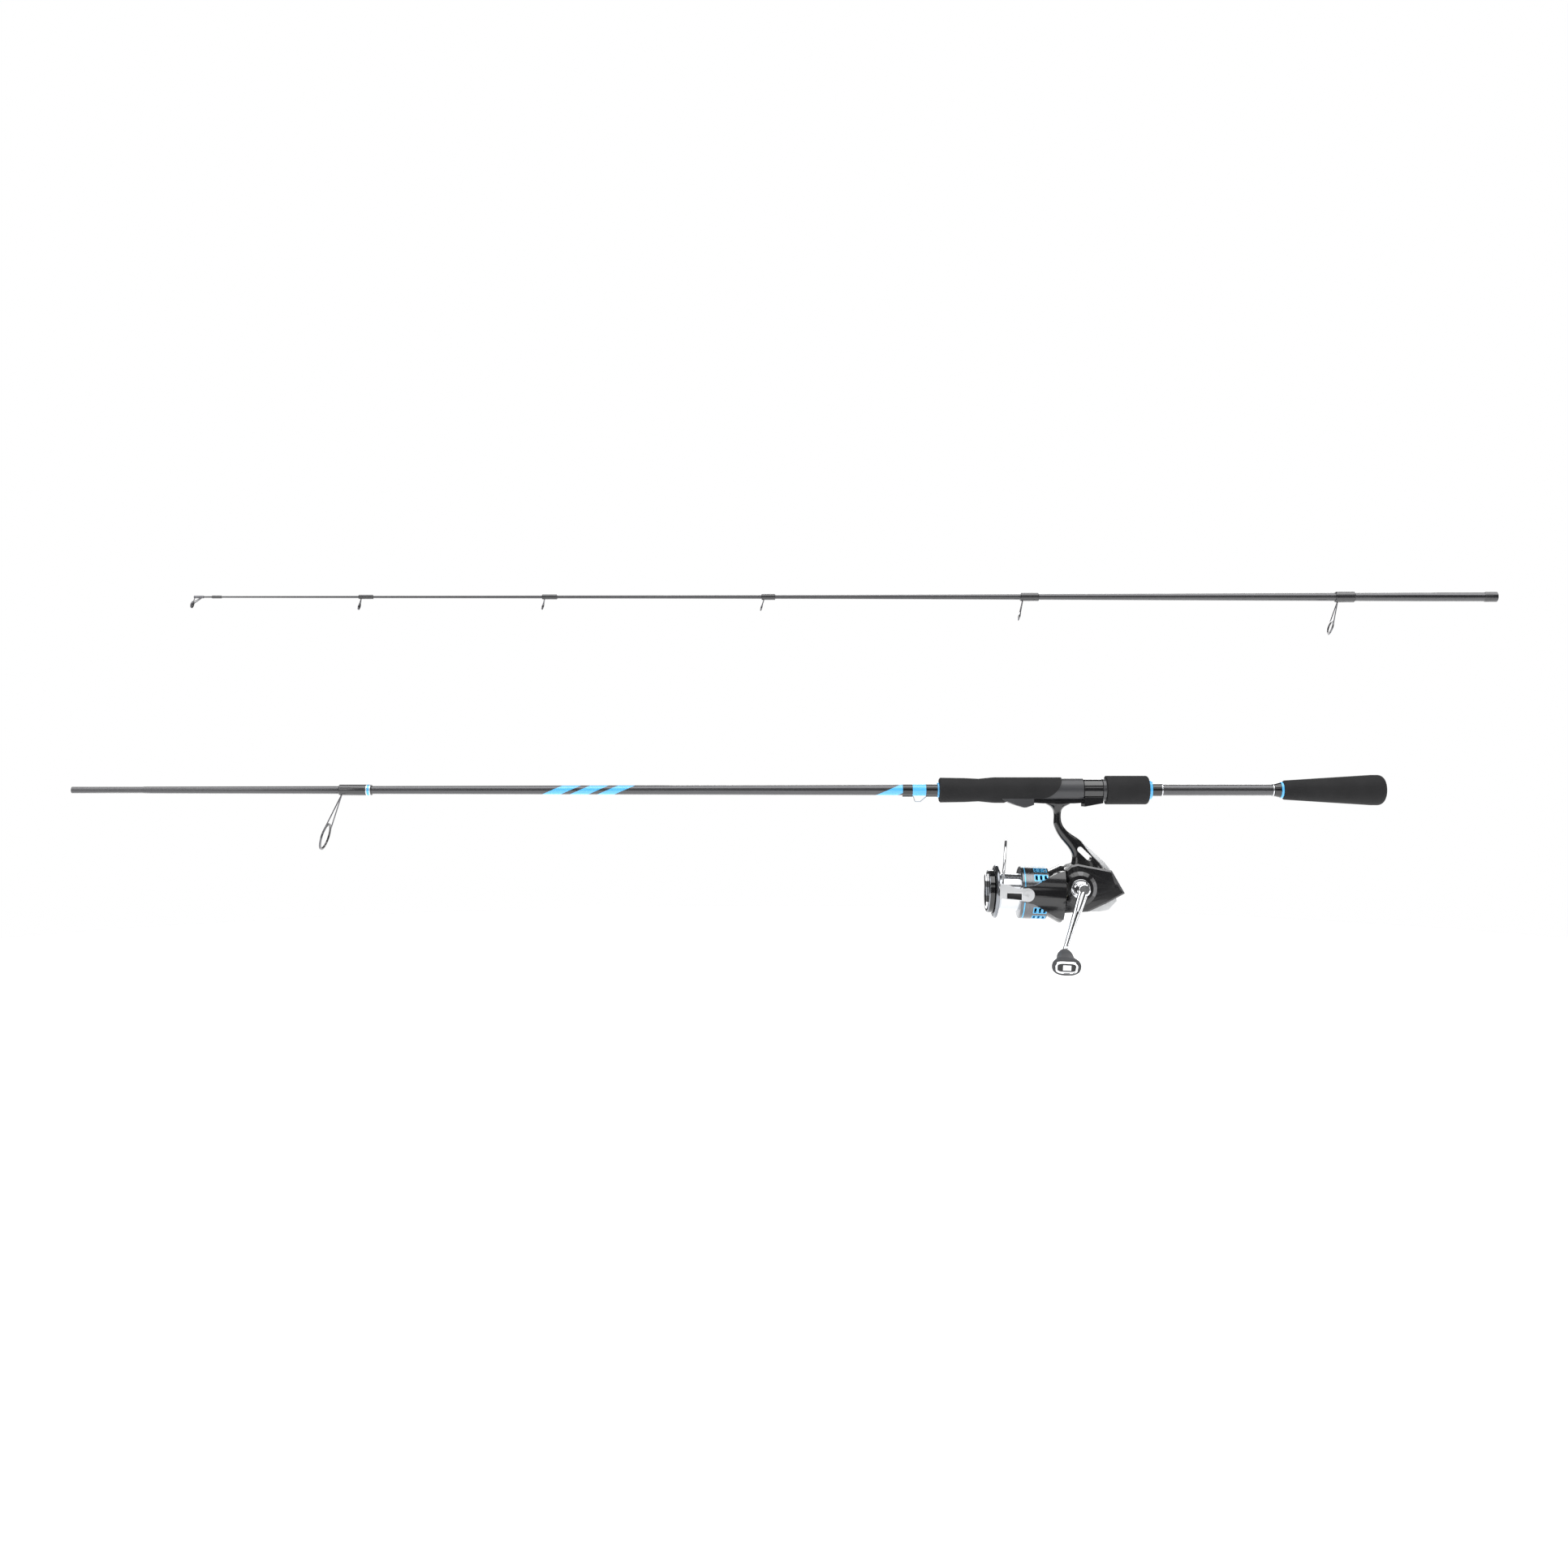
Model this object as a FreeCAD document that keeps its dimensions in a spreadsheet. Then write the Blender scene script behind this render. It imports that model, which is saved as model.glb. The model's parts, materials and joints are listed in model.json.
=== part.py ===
"""A two-piece spinning rod with its spinning reel, in millimetres.

The rod's butt section lies along X, with its tip end at -X and its butt at +X. The origin is on
the rod's axis, straight above the stem of the reel, where a hand holds it. The reel hangs below
the rod at -Z with its crank at -Y. The tip section lies beside the butt section, higher up.
"""
import FreeCAD, Part
import math
import os
import re
import Sketcher
from FreeCAD import Placement, Rotation, Vector

SIZES = [
    # the butt section's blank
    ("butt_front", -825.2, "front end of the butt section"),
    ("butt_end", 266, "rear end of the blank, inside the butt grip"),
    ("blank_wall", 0.8, "wall of the hollow blank"),
    ("ferrule_length", 60, "length of the joint between the two sections"),
    ("ferrule_radius", 2.7, "radius of the male end"),
    ("ferrule_gap", 0.05, "radial clearance of the ferrule"),
    ("shoulder_radius", 2.85, "blank behind the male end"),
    ("grip_blank_radius", 4.6, "blank at the front of the foregrip"),
    ("butt_blank_radius", 4.75, "blank at its rear end"),
    # wraps and trim in front of the foregrip
    ("wrap_thickness", 0.3, "thread and varnish over the blank"),
    ("keeper_front", -129.5, "front of the hook keeper's wraps"),
    ("keeper_band_front", -121.2, "front of the blue band"),
    ("keeper_band_rear", -110, "rear of the blue band"),
    ("keeper_rear", -100.4, "rear of the hook keeper's wraps"),
    ("keeper_drop", 9.7, "how far the keeper's loop hangs below the axis"),
    ("keeper_wire", 0.35, "radius of the keeper's wire"),
    ("check_length", 1.5, "length of a winding check"),
    ("front_check_rise", 1.7, "height of the front check above the blank"),
    ("rear_check_rise", 2.1, "height of the rear check above the blank"),
    # foregrip and reel seat
    ("foregrip_rear", 3, "rear edge of the foregrip at its top"),
    ("foregrip_front_radius", 10.4, "foregrip at its front end"),
    ("foregrip_waist_radius", 9.5, "foregrip at its waist"),
    ("foregrip_radius", 10.75, "foregrip over the reel seat"),
    ("seat_front", -52, "front end of the reel seat, under the foregrip"),
    ("seat_radius", 9.8, "reel seat"),
    ("seat_shoulder", 20.9, "rear end of the seat's wide part"),
    ("barrel_radius", 7.2, "threaded barrel of the seat"),
    ("barrel_end", 76, "rear end of the threaded barrel"),
    ("foot_drop", 8.5, "distance from the axis down to the face that the foot seats on"),
    ("foot_thickness", 2.6, "reel foot under the stem"),
    ("foot_tip_thickness", 1.3, "reel foot at its ends"),
    ("foot_half_width", 7, "half the width of the reel foot"),
    ("foot_front", -34, "front end of the reel foot"),
    ("foot_rear", 33, "rear end of the reel foot"),
    ("slip", 0.3, "clearance between pieces that move past each other"),
    ("fit", 0.06, "radial running clearance of a shaft"),
    ("hood_front", 21.6, "front face of the sliding hood at rest"),
    ("hood_rear", 37.1, "rear face of the sliding hood at rest"),
    ("hood_radius", 9.2, "sliding hood"),
    ("hood_drop", 13.9, "lip of the sliding hood below the axis"),
    ("nut_collar_rear", 40.5, "rear of the lock nut's bare collar"),
    ("nut_rear", 76, "rear of the lock nut's grip"),
    ("nut_radius", 9, "lock nut under its grip"),
    ("nut_grip_radius", 12, "grip on the lock nut"),
    ("nut_check_length", 2.8, "blue ring behind the lock nut's grip"),
    # behind the reel seat
    ("rear_collar_front", 79.5, "dark collar behind the lock nut"),
    ("rear_collar_rear", 87.1, "rear end of that collar"),
    ("trim_length", 0.8, "thin metal trim ring"),
    ("butt_trim", 180.1, "trim ring in front of the butt grip"),
    ("butt_collar_front", 181.5, "flared collar of the butt grip"),
    ("butt_check_front", 186.7, "blue check in front of the butt grip"),
    ("butt_grip_front", 188.7, "front of the butt grip"),
    ("butt_grip_rear", 273.5, "rear end of the rod"),
    ("butt_grip_front_radius", 8.1, "butt grip at its front"),
    ("butt_grip_radius", 12.7, "butt grip at its rear"),
    ("grip_round", 5.5, "rounding of the butt grip's end"),
    ("nut_grip_round", 2.4, "rounding of the lock nut grip's end"),
    # guides
    ("guide_tilt", 16.5, "lean of a guide's ring, in degrees"),
    ("guide_band", 0.7, "radial thickness of a guide's metal ring"),
    ("guide_insert", 0.9, "radial thickness of the ceramic insert"),
    # the tip section, about its own axis
    ("tip_lift", 161.8, "height of the tip section's axis"),
    ("tip_front", -722, "front end of the tip section's blank"),
    ("tip_rear", 368.2, "open end of the tip section"),
    ("tip_radius", 0.7, "blank at the tip"),
    ("tip_middle_radius", 1.65, "blank at the middle of the tip section"),
    ("tip_rear_radius", 3.65, "blank over the female ferrule"),
    ("tip_middle", -190, "where the tip section becomes hollow"),
    ("tip_wrap_length", 10.9, "wrap at the female ferrule's mouth"),
    # the reel, about the spool's axis
    ("reel_drop", 86.8, "distance from the rod's axis down to the spool's"),
    ("reel_tilt", 2.1, "rise of the spool towards the tip, in degrees"),
    ("neck_half_length", 3, "half the stem's length along the rod, at its neck"),
    ("neck_half_width", 3.9, "half the stem's width at its neck"),
    ("housing_near", 13, "side cover's outer face"),
    ("housing_far", 12, "body's outer face"),
    ("housing_split", 3, "joint between the body and its side cover"),
    ("housing_wall", 1.8, "wall of the housing"),
    ("nose_radius", 19.5, "round nose of the body, inside the rotor"),
    ("clutch_radius", 12.5, "outer radius of the one-way clutch"),
    ("bearing_radius", 7, "outer radius of the pinion's bearing"),
    ("shaft_radius", 2, "main shaft"),
    ("pinion_radius", 3, "pinion's sleeve"),
    ("drive_x", 16.4, "crank axis behind the origin"),
    ("drive_lift", 5.6, "crank axis above the spool's axis"),
    ("drive_radius", 3.2, "drive gear's hub"),
    ("shank_radius", 2.2, "crank shank inside the hub"),
    ("gear_radius", 13, "drive gear"),
    ("spur_teeth", 10, "teeth on the drive gear's hub"),
    ("oscillation_teeth", 20, "teeth on the oscillation gear"),
    ("gear_module", 1, "module of those two gears"),
    ("gear_angle", 0, "direction from the crank axis to the oscillation gear, in degrees"),
    ("stroke", 14, "travel of the spool along its axis"),
    ("spool_radius", 21.9, "spool's skirt"),
    ("lip_radius", 22.45, "spool's lip"),
    ("arbor_radius", 15.6, "spool's arbor"),
    ("skirt_wall", 1.5, "wall of the skirt"),
    ("knob_radius", 18, "drag knob"),
    ("rotor_radius", 24.4, "rotor's flange"),
    ("rotor_drum_radius", 18.7, "rotor's drum, inside the skirt"),
    ("rotor_arm_inner", 25.3, "inside of the rotor's arms"),
    ("rotor_arm_outer", 29.5, "outside of the rotor's arms"),
    ("rotor_arm_end", 6.5, "radius of a rotor arm's round end"),
    ("bail_x", -29.5, "pivots of the bail"),
    ("bail_pin_radius", 1.8, "pivot screw's shank"),
    ("bail_thickness", 2.2, "bail arm's plate"),
    ("bail_top", 44.5, "top of the bail wire above the spool's axis"),
    ("bail_wire_radius", 1, "bail wire"),
    ("roller_x", -49.3, "line roller"),
    ("lever_x", -41.7, "far end of the bail wire"),
    ("roller_out", 26.6, "line roller's distance from the middle plane"),
    ("roller_radius", 3.2, "line roller"),
    # the crank, about its own axis
    ("crank_lean", 21, "lean of the crank arm towards the tip, in degrees"),
    ("crank_splay", 17.7, "outward slope of the crank arm, in degrees"),
    ("crank_out", 31, "middle of the crank's hub from the middle plane"),
    ("crank_length", 56, "length of the crank arm"),
    ("knob_length", 26, "length of the crank knob"),
    ("knob_half_width", 11.4, "half the crank knob's width"),
    ("knob_shaft_radius", 1.8, "crank knob's shaft"),
    ("knob_bush_radius", 3, "bushes in the crank knob"),
]

# guides of the tip section: ring, foot and rear end of the wrap along X, drop of the ring's
# lowest point below the axis, ring's outer radius, and radius of the frame's wire
TIP_GUIDES = [
    (-585.5, -583.0, -573.0, 10.7, 2.75, 0.35),
    (-431.7, -429.4, -418.9, 10.6, 2.75, 0.35),
    (-248.5, -245.6, -236.2, 11.6, 2.75, 0.40),
    (-32.8, -28.9, -15.5, 19.7, 3.5, 0.45),
    (227.1, 234.9, 249.0, 31.6, 6.25, 0.45),
]
BUTT_GUIDE = (-616.5, -599.4, -574.0, 50.0, 11.5, 0.50)

doc = FreeCAD.newDocument("fishing_rod_and_reel")
sheet = doc.addObject("Spreadsheet::Sheet", "sizes")
for row, (alias, number, meaning) in enumerate(SIZES, start=1):
    sheet.set(f"A{row}", meaning)
    sheet.set(f"B{row}", str(number))
    sheet.setAlias(f"B{row}", alias)
doc.recompute()

ALIASES = {alias for alias, number, meaning in SIZES}
X_AXIS = Vector(1, 0, 0)
Y_AXIS = Vector(0, 1, 0)
Z_AXIS = Vector(0, 0, 1)
nodes = []


def bound(expression):
    """The expression with the sheet's name in front of each alias in it."""
    def point_at_sheet(word):
        return "sizes." + word.group() if word.group() in ALIASES else word.group()
    return re.sub(r"[a-z][a-z_]*", point_at_sheet, str(expression))


def size(expression):
    """The expression's value in millimetres or degrees."""
    return float(sheet.evalExpression(bound(expression)))


# ---- ways to make a piece ----

def turned_body(name, outline, placement=Placement(), round_edges=(), round_radius=None):
    """A body turned about its own X axis from (x, radius) expressions."""
    body = doc.addObject("PartDesign::Body", name)
    sketch = body.newObject("Sketcher::SketchObject", name + "_outline")
    plane = [part for part in body.Origin.OriginFeatures if part.Role == "XZ_Plane"][0]
    sketch.AttachmentSupport = [(plane, "")]
    sketch.MapMode = "FlatFace"
    points = [Vector(size(x), size(radius), 0) for x, radius in outline]
    count = len(points)
    for index in range(count):
        sketch.addGeometry(Part.LineSegment(points[index], points[(index + 1) % count]), False)
    for index in range(count):
        following = (index + 1) % count
        sketch.addConstraint(Sketcher.Constraint("Coincident", index, 2, following, 1))
    for index, (x, radius) in enumerate(outline):
        for kind, expression, number in (("DistanceX", x, points[index].x),
                                         ("DistanceY", radius, points[index].y)):
            place = sketch.addConstraint(Sketcher.Constraint(kind, -1, 1, index, 1, number))
            sketch.setExpression(f"Constraints[{place}]", bound(expression))
    turning = body.newObject("PartDesign::Revolution", name + "_turning")
    turning.Profile = sketch
    turning.ReferenceAxis = (sketch, ["H_Axis"])
    turning.Angle = 360
    doc.recompute()
    if round_edges:
        rounding = body.newObject("PartDesign::Fillet", name + "_rounding")
        rounding.Base = (turning, [edge_at(turning.Shape, size(x), size(radius))
                                   for x, radius in round_edges])
        rounding.setExpression("Radius", bound(round_radius))
        doc.recompute()
    body.Placement = placement
    return body


def edge_at(shape, x, radius):
    """The name of the circular edge about X at this place and radius."""
    for number, edge in enumerate(shape.Edges, start=1):
        curve = edge.Curve
        if isinstance(curve, Part.Circle) and abs(curve.Center.x - x) < 0.01 \
                and abs(curve.Radius - radius) < 0.01:
            return f"Edge{number}"
    raise ValueError(f"no edge at {x}, {radius}")


def turned(label, outline, placement=Placement(), round_edges=(), round_radius=None):
    """A node that is one turned piece."""
    body = turned_body(label, outline, placement, round_edges, round_radius)
    body.Label = label
    nodes.append(body)
    return body


def ring(front, rear, inner, outer):
    """The outline of a plain ring."""
    return [(front, inner), (front, outer), (rear, outer), (rear, inner)]


def group(label, members):
    """A node of several separate pieces of one kind."""
    compound = doc.addObject("Part::Compound", label)
    compound.Links = members
    compound.Label = label
    nodes.append(compound)
    return compound


def shaped(label, shape, placement=Placement()):
    """A node whose form is worked out below with Part's own functions."""
    feature = doc.addObject("Part::Feature", label)
    feature.Shape = shape
    feature.Placement = placement.multiply(shape.Placement)
    feature.Label = label
    nodes.append(feature)
    return feature


def lathe(outline):
    """A solid of revolution about X from (x, radius) expressions."""
    corners = [Vector(size(x), 0, size(radius)) for x, radius in outline]
    face = Part.Face(Part.makePolygon(corners + corners[:1]))
    return face.revolve(Vector(), X_AXIS, 360)


def slab(outline, near, far):
    """A plate in the XZ plane from (x, z) expressions, from y = near to y = far."""
    corners = [Vector(size(x), size(near), size(z)) for x, z in outline]
    face = Part.Face(Part.makePolygon(corners + corners[:1]))
    return face.extrude(Vector(0, size(far) - size(near), 0))


def bar(start, end, radius):
    """A round bar between two points."""
    return Part.makeCylinder(radius, (end - start).Length, start, end - start)


def across(x, z, radius, near, far):
    """A round bar along Y, from y = near to y = far."""
    return bar(Vector(x, near, z), Vector(x, far, z), radius)


def oval(centre, half_x, half_y, squareness=2.4, turn=Rotation()):
    """A closed smooth outline, rounder than a rectangle, square to the turned Z axis."""
    points = []
    for step in range(16):
        angle = 2 * math.pi * step / 16
        wide, deep = math.cos(angle), math.sin(angle)
        x = math.copysign(abs(wide) ** (2 / squareness), wide) * half_x
        y = math.copysign(abs(deep) ** (2 / squareness), deep) * half_y
        points.append(centre + turn.multVec(Vector(x, y, 0)))
    curve = Part.BSplineCurve()
    curve.interpolate(Points=points, PeriodicFlag=True)
    return Part.Wire([curve.toShape()])


def joined(first, *others):
    """One solid from several that touch or cross."""
    return first.fuse(list(others)).removeSplitter()


def moved(shape, placement):
    """A copy of the shape at the placement."""
    copy = shape.copy()
    copy.Placement = placement.multiply(copy.Placement)
    return copy


def swept(path_edges, radius):
    """A round wire along a path."""
    path = Part.Wire(path_edges)
    start = path.Edges[0]
    tangent = start.tangentAt(start.FirstParameter)
    section = Part.Wire([Part.makeCircle(radius, start.valueAt(start.FirstParameter), tangent)])
    return path.makePipeShell([section], True, True)


# ---- the butt section: blank, wraps, grips and seat ----

SHOULDER = "(butt_front + ferrule_length)"
GRIP_FRONT = "(keeper_rear + check_length)"
TAPER = f"((grip_blank_radius - shoulder_radius) / ({GRIP_FRONT} - {SHOULDER}))"


def on_blank(x):
    """Radius of the butt section's blank at x, in front of the foregrip."""
    return f"(shoulder_radius + ({x} - {SHOULDER}) * {TAPER})"


def behind_grip(x):
    """Radius of the blank at x, from the front of the foregrip to the butt."""
    slope = f"((butt_blank_radius - grip_blank_radius) / (butt_end - {GRIP_FRONT}))"
    return f"(grip_blank_radius + ({x} - {GRIP_FRONT}) * {slope})"


def sleeve(front, rear, inner, thickness):
    """The outline of a wrap on the tapered blank."""
    return [(front, inner(front)), (front, f"{inner(front)} + {thickness}"),
            (rear, f"{inner(rear)} + {thickness}"), (rear, inner(rear))]


turned("butt_blank", [
    ("butt_front", "ferrule_radius - blank_wall"), ("butt_front", "ferrule_radius"),
    (SHOULDER, "ferrule_radius"), (SHOULDER, "shoulder_radius"),
    (GRIP_FRONT, "grip_blank_radius"), ("butt_end", "butt_blank_radius"),
    ("butt_end", "butt_blank_radius - blank_wall"),
    (GRIP_FRONT, "grip_blank_radius - blank_wall"),
    (SHOULDER, "ferrule_radius - blank_wall")])

keeper_wire = size("keeper_wire")
keeper_under = size(on_blank("keeper_band_rear")) + keeper_wire
keeper_low = size("keeper_drop")
keeper_front = size("keeper_band_front")
keeper_rear = size("keeper_band_rear")
KEEPER_ROUTE = [
    Vector(keeper_front - 5, 0, -keeper_under), Vector(keeper_front + 0.5, 0, -keeper_under),
    Vector(keeper_front + 2, 0, -keeper_low), Vector(keeper_front + 6.5, 0, -keeper_low),
    Vector(keeper_rear + 1, 0, -keeper_under), Vector(keeper_rear + 6, 0, -keeper_under)]


def rounded_route(points, radius):
    """Straight runs with an arc of this radius at each corner."""
    edges, last = [], points[0]
    for before, corner, after in zip(points, points[1:], points[2:]):
        back = (before - corner).normalize()
        onward = (after - corner).normalize()
        half_turn = (math.pi - back.getAngle(onward)) / 2
        reach = radius * math.tan(half_turn)
        begin, end = corner + back * reach, corner + onward * reach
        inward = (back + onward).normalize()
        middle = corner + inward * (radius / math.cos(half_turn) - radius)
        edges += [Part.LineSegment(last, begin).toShape(), Part.Arc(begin, middle, end).toShape()]
        last = end
    return edges + [Part.LineSegment(last, points[-1]).toShape()]


keeper = swept(rounded_route(KEEPER_ROUTE, 1.1), keeper_wire)
shaped("hook_keeper", keeper)


filled_butt = lathe([(SHOULDER, "0"), (SHOULDER, "shoulder_radius"),
                     (GRIP_FRONT, "grip_blank_radius"), (GRIP_FRONT, "0")])


def keeper_wrap(front, rear):
    """A wrap that holds one foot of the keeper down on the blank, with a ridge over the foot."""
    under = Vector(0, 0, -keeper_under)
    ridge = bar(Vector(size(front), 0, 0) + under, Vector(size(rear), 0, 0) + under,
                size("keeper_wire + wrap_thickness"))
    wrap = joined(lathe(sleeve(front, rear, on_blank, "wrap_thickness")), ridge)
    return wrap.cut([keeper, filled_butt])


front_wrap = keeper_wrap("keeper_front", "keeper_band_front")
rear_wrap = keeper_wrap("keeper_band_rear", "keeper_rear")
shaped("keeper_wraps", Part.makeCompound([front_wrap, rear_wrap]))
shaped("keeper_band", lathe(sleeve("keeper_band_front", "keeper_band_rear", on_blank,
                                   "wrap_thickness")).cut(keeper))
front_check = turned_body("front_check", sleeve("keeper_rear", GRIP_FRONT, on_blank,
                                                "front_check_rise"))
rear_check = turned_body("rear_check", sleeve("butt_check_front", "butt_grip_front",
                                              behind_grip, "rear_check_rise"))
group("winding_checks", [front_check, rear_check])

# the foregrip is bored for the blank at its front and for the seat behind, and its rear edge
# sweeps down and forward, so that the seat shows below
foregrip = lathe([
    (GRIP_FRONT, behind_grip(GRIP_FRONT)), (GRIP_FRONT, "foregrip_front_radius - 1"),
    (f"{GRIP_FRONT} + 1", "foregrip_front_radius"),
    ("seat_front - 26", "foregrip_front_radius - 0.3"),
    ("seat_front - 14", "foregrip_waist_radius"), ("seat_front - 3", "foregrip_radius - 0.15"),
    ("seat_front", "foregrip_radius"),
    ("foregrip_rear", "foregrip_radius"), ("foregrip_rear", "seat_radius"),
    ("seat_front", "seat_radius"), ("seat_front", behind_grip("seat_front"))])
rear_edge = [("foregrip_rear", "foregrip_radius + 2"), ("foregrip_rear - 3.3", "1.3"),
             ("foregrip_rear - 10", "-5.2"), ("foregrip_rear - 37", "-7.2"),
             ("seat_front + 5", "-foregrip_radius - 2")]
edge_curve = Part.BSplineCurve()
edge_curve.interpolate([Vector(size(x), -30, size(z)) for x, z in rear_edge])
edge_ends = [edge_curve.EndPoint, Vector(40, -30, edge_curve.EndPoint.z),
             Vector(40, -30, edge_curve.StartPoint.z), edge_curve.StartPoint]
edge_face = Part.Face(Part.Wire([edge_curve.toShape()] + Part.makePolygon(edge_ends).Edges))
foregrip = foregrip.cut(edge_face.extrude(Vector(0, 60, 0)))

seat = lathe([
    ("seat_front", behind_grip("seat_front")), ("seat_front", "seat_radius"),
    ("seat_shoulder", "seat_radius"), ("seat_shoulder", "barrel_radius"),
    ("barrel_end", "barrel_radius"), ("barrel_end", behind_grip("barrel_end"))])
HOOD_POCKET_FLOOR = "(-foot_drop - foot_thickness - slip)"
fixed_hood = slab([
    ("seat_front + 5", "-seat_radius + 2"), ("seat_front + 16", "-seat_radius - 2.5"),
    ("seat_front + 23.5", "-seat_radius - 4.8"), ("seat_front + 25.5", "-seat_radius - 4.6"),
    ("seat_front + 31.5", HOOD_POCKET_FLOOR + " - 0.9"), ("seat_front + 31.5", "-foot_drop + 3"),
    ("seat_front + 5", "-foot_drop + 3")], "-foot_half_width - 1", "foot_half_width + 1")
shaped("foregrip", foregrip.cut(fixed_hood))
blank_core = bar(Vector(-200, 0, 0), Vector(200, 0, 0), size(behind_grip("barrel_end")))
foot_room = Part.makeBox(size("seat_shoulder - foot_front") + 2, 2 * size("foot_half_width + 2"),
                         6, Vector(size("foot_front") - 1, -size("foot_half_width + 2"),
                                   -size("foot_drop") - 6))
pocket = Part.makeBox(size("seat_shoulder - foot_front") + 2, 2 * size("foot_half_width") + 0.4,
                      size("foot_thickness + slip"),
                      Vector(size("foot_front") - 1, -size("foot_half_width") - 0.2,
                             size(HOOD_POCKET_FLOOR)))
shaped("reel_seat", joined(seat.cut(foot_room), fixed_hood.cut(blank_core)).cut(pocket))

HOOD_BORE = "(barrel_radius + slip)"
hood = lathe(ring("hood_front", "hood_rear", HOOD_BORE, "hood_radius"))
hood_lip = slab([
    ("hood_front", "-hood_drop"), ("hood_rear", "-hood_radius - 1.8"), ("hood_rear", "-6"),
    ("hood_front", "-6")], "-foot_half_width - 1.3", "foot_half_width + 1.3")
hood_core = lathe([("hood_front", "0"), ("hood_front", HOOD_BORE), ("hood_rear", HOOD_BORE),
                   ("hood_rear", "0")])
hood_pocket = Part.makeBox(size("foot_rear - hood_front + 1"), 2 * size("foot_half_width + slip"),
                           size("foot_thickness + 2 * slip"),
                           Vector(size("hood_front"), -size("foot_half_width + slip"),
                                  -size("foot_drop + foot_thickness + slip")))
shaped("sliding_hood", joined(hood, hood_lip.cut(hood_core)).cut(hood_pocket))

NUT_FRONT = "(hood_rear + slip)"
NUT_BORE = "(barrel_radius + fit)"
turned("lock_nut", [
    (NUT_FRONT, NUT_BORE), (NUT_FRONT, "nut_radius + 0.4"), ("nut_collar_rear", "nut_radius + 0.4"),
    ("nut_collar_rear", "nut_radius"), ("nut_rear", "nut_radius"), ("nut_rear", NUT_BORE)])
turned("lock_nut_grip", ring("nut_collar_rear", "nut_rear", "nut_radius", "nut_grip_radius"),
       round_edges=[("nut_rear", "nut_grip_radius")], round_radius="nut_grip_round")
turned("lock_nut_check", [
    ("nut_rear", NUT_BORE), ("nut_rear", "nut_radius - 0.2"),
    ("nut_rear + nut_check_length", NUT_BORE + " + 0.5"), ("nut_rear + nut_check_length", NUT_BORE)])

turned("rear_collar", sleeve("rear_collar_front", "rear_collar_rear", behind_grip, "0.5"))
group("trim_rings", [
    turned_body("front_trim_ring", sleeve("rear_collar_rear", "rear_collar_rear + trim_length",
                                          behind_grip, "0.7")),
    turned_body("rear_trim_ring", sleeve("butt_trim", "butt_trim + trim_length",
                                         behind_grip, "0.4"))])
turned("butt_collar", [
    ("butt_collar_front", behind_grip("butt_collar_front")), ("butt_collar_front", "5.1"),
    ("butt_check_front", "6.4"), ("butt_check_front", behind_grip("butt_check_front"))])
turned("butt_grip", [
    ("butt_grip_front", behind_grip("butt_grip_front")),
    ("butt_grip_front", "butt_grip_front_radius - 1"),
    ("butt_grip_front + 1.5", "butt_grip_front_radius"),
    ("butt_grip_rear - 11", "butt_grip_radius"),
    ("butt_grip_rear", "butt_grip_radius"), ("butt_grip_rear", "0"), ("butt_end", "0"),
    ("butt_end", "butt_blank_radius")],
    round_edges=[("butt_grip_rear", "butt_grip_radius")], round_radius="grip_round")


# ---- guides ----

def guide_ring(centre, outer, thickness, width):
    """A ring that leans with its lower edge towards the tip."""
    band = Part.makeCylinder(outer, width, Vector(-width / 2, 0, 0), X_AXIS)
    bore = Part.makeCylinder(outer - thickness, width + 2, Vector(-width / 2 - 1, 0, 0), X_AXIS)
    return moved(band.cut(bore), Placement(centre, Rotation(Y_AXIS, size("guide_tilt"))))


def guide(place, filled_blank, foot_height):
    """Frame, ceramic insert and thread wrap of one guide."""
    ring_x, foot_x, wrap_rear, drop, outer, wire = place
    lean = Rotation(Y_AXIS, size("guide_tilt"))
    centre = Vector(ring_x, 0, -drop) + lean.multVec(Vector(0, 0, outer))
    band, insert = size("guide_band"), size("guide_insert")
    frame = guide_ring(centre, outer, band, 2.4 * wire)
    foot = Vector(foot_x, 0, -foot_height)
    legs = []
    for side in (-1, 1):
        spread = math.radians(62)
        out = Vector(0, side * math.sin(spread), math.cos(spread)) * (outer - band / 2)
        start = foot + Vector(0, side * wire * 0.6, 0)
        legs.append(bar(start, centre + lean.multVec(out), wire))
        legs.append(Part.makeSphere(wire, start))
    legs.append(bar(foot, Vector(wrap_rear - 1.5, 0, -foot_height), wire * 1.05))
    frame = joined(frame, *legs)
    ceramic = guide_ring(centre, outer - band, insert, 3.2 * wire)
    frame = frame.cut(guide_ring(centre, outer - band, outer - band - 0.1, 9))
    wrap_radius = foot_height + wire * 1.3
    wrap = Part.makeCylinder(wrap_radius, wrap_rear - foot_x + 2, Vector(foot_x - 2, 0, 0), X_AXIS)
    wrap = wrap.makeChamfer(wrap_radius * 0.12, wrap.Edges)
    return frame, ceramic, wrap.cut([frame, filled_blank])


butt_foot_height = size(on_blank(BUTT_GUIDE[2])) + BUTT_GUIDE[5] * 1.1
butt_frame, butt_insert, butt_wrap = guide(BUTT_GUIDE, filled_butt, butt_foot_height)
shaped("butt_guide_frame", butt_frame)
shaped("butt_guide_ring", butt_insert)
shaped("butt_guide_wrap", butt_wrap)

# ---- the tip section, about its own axis ----

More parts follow.
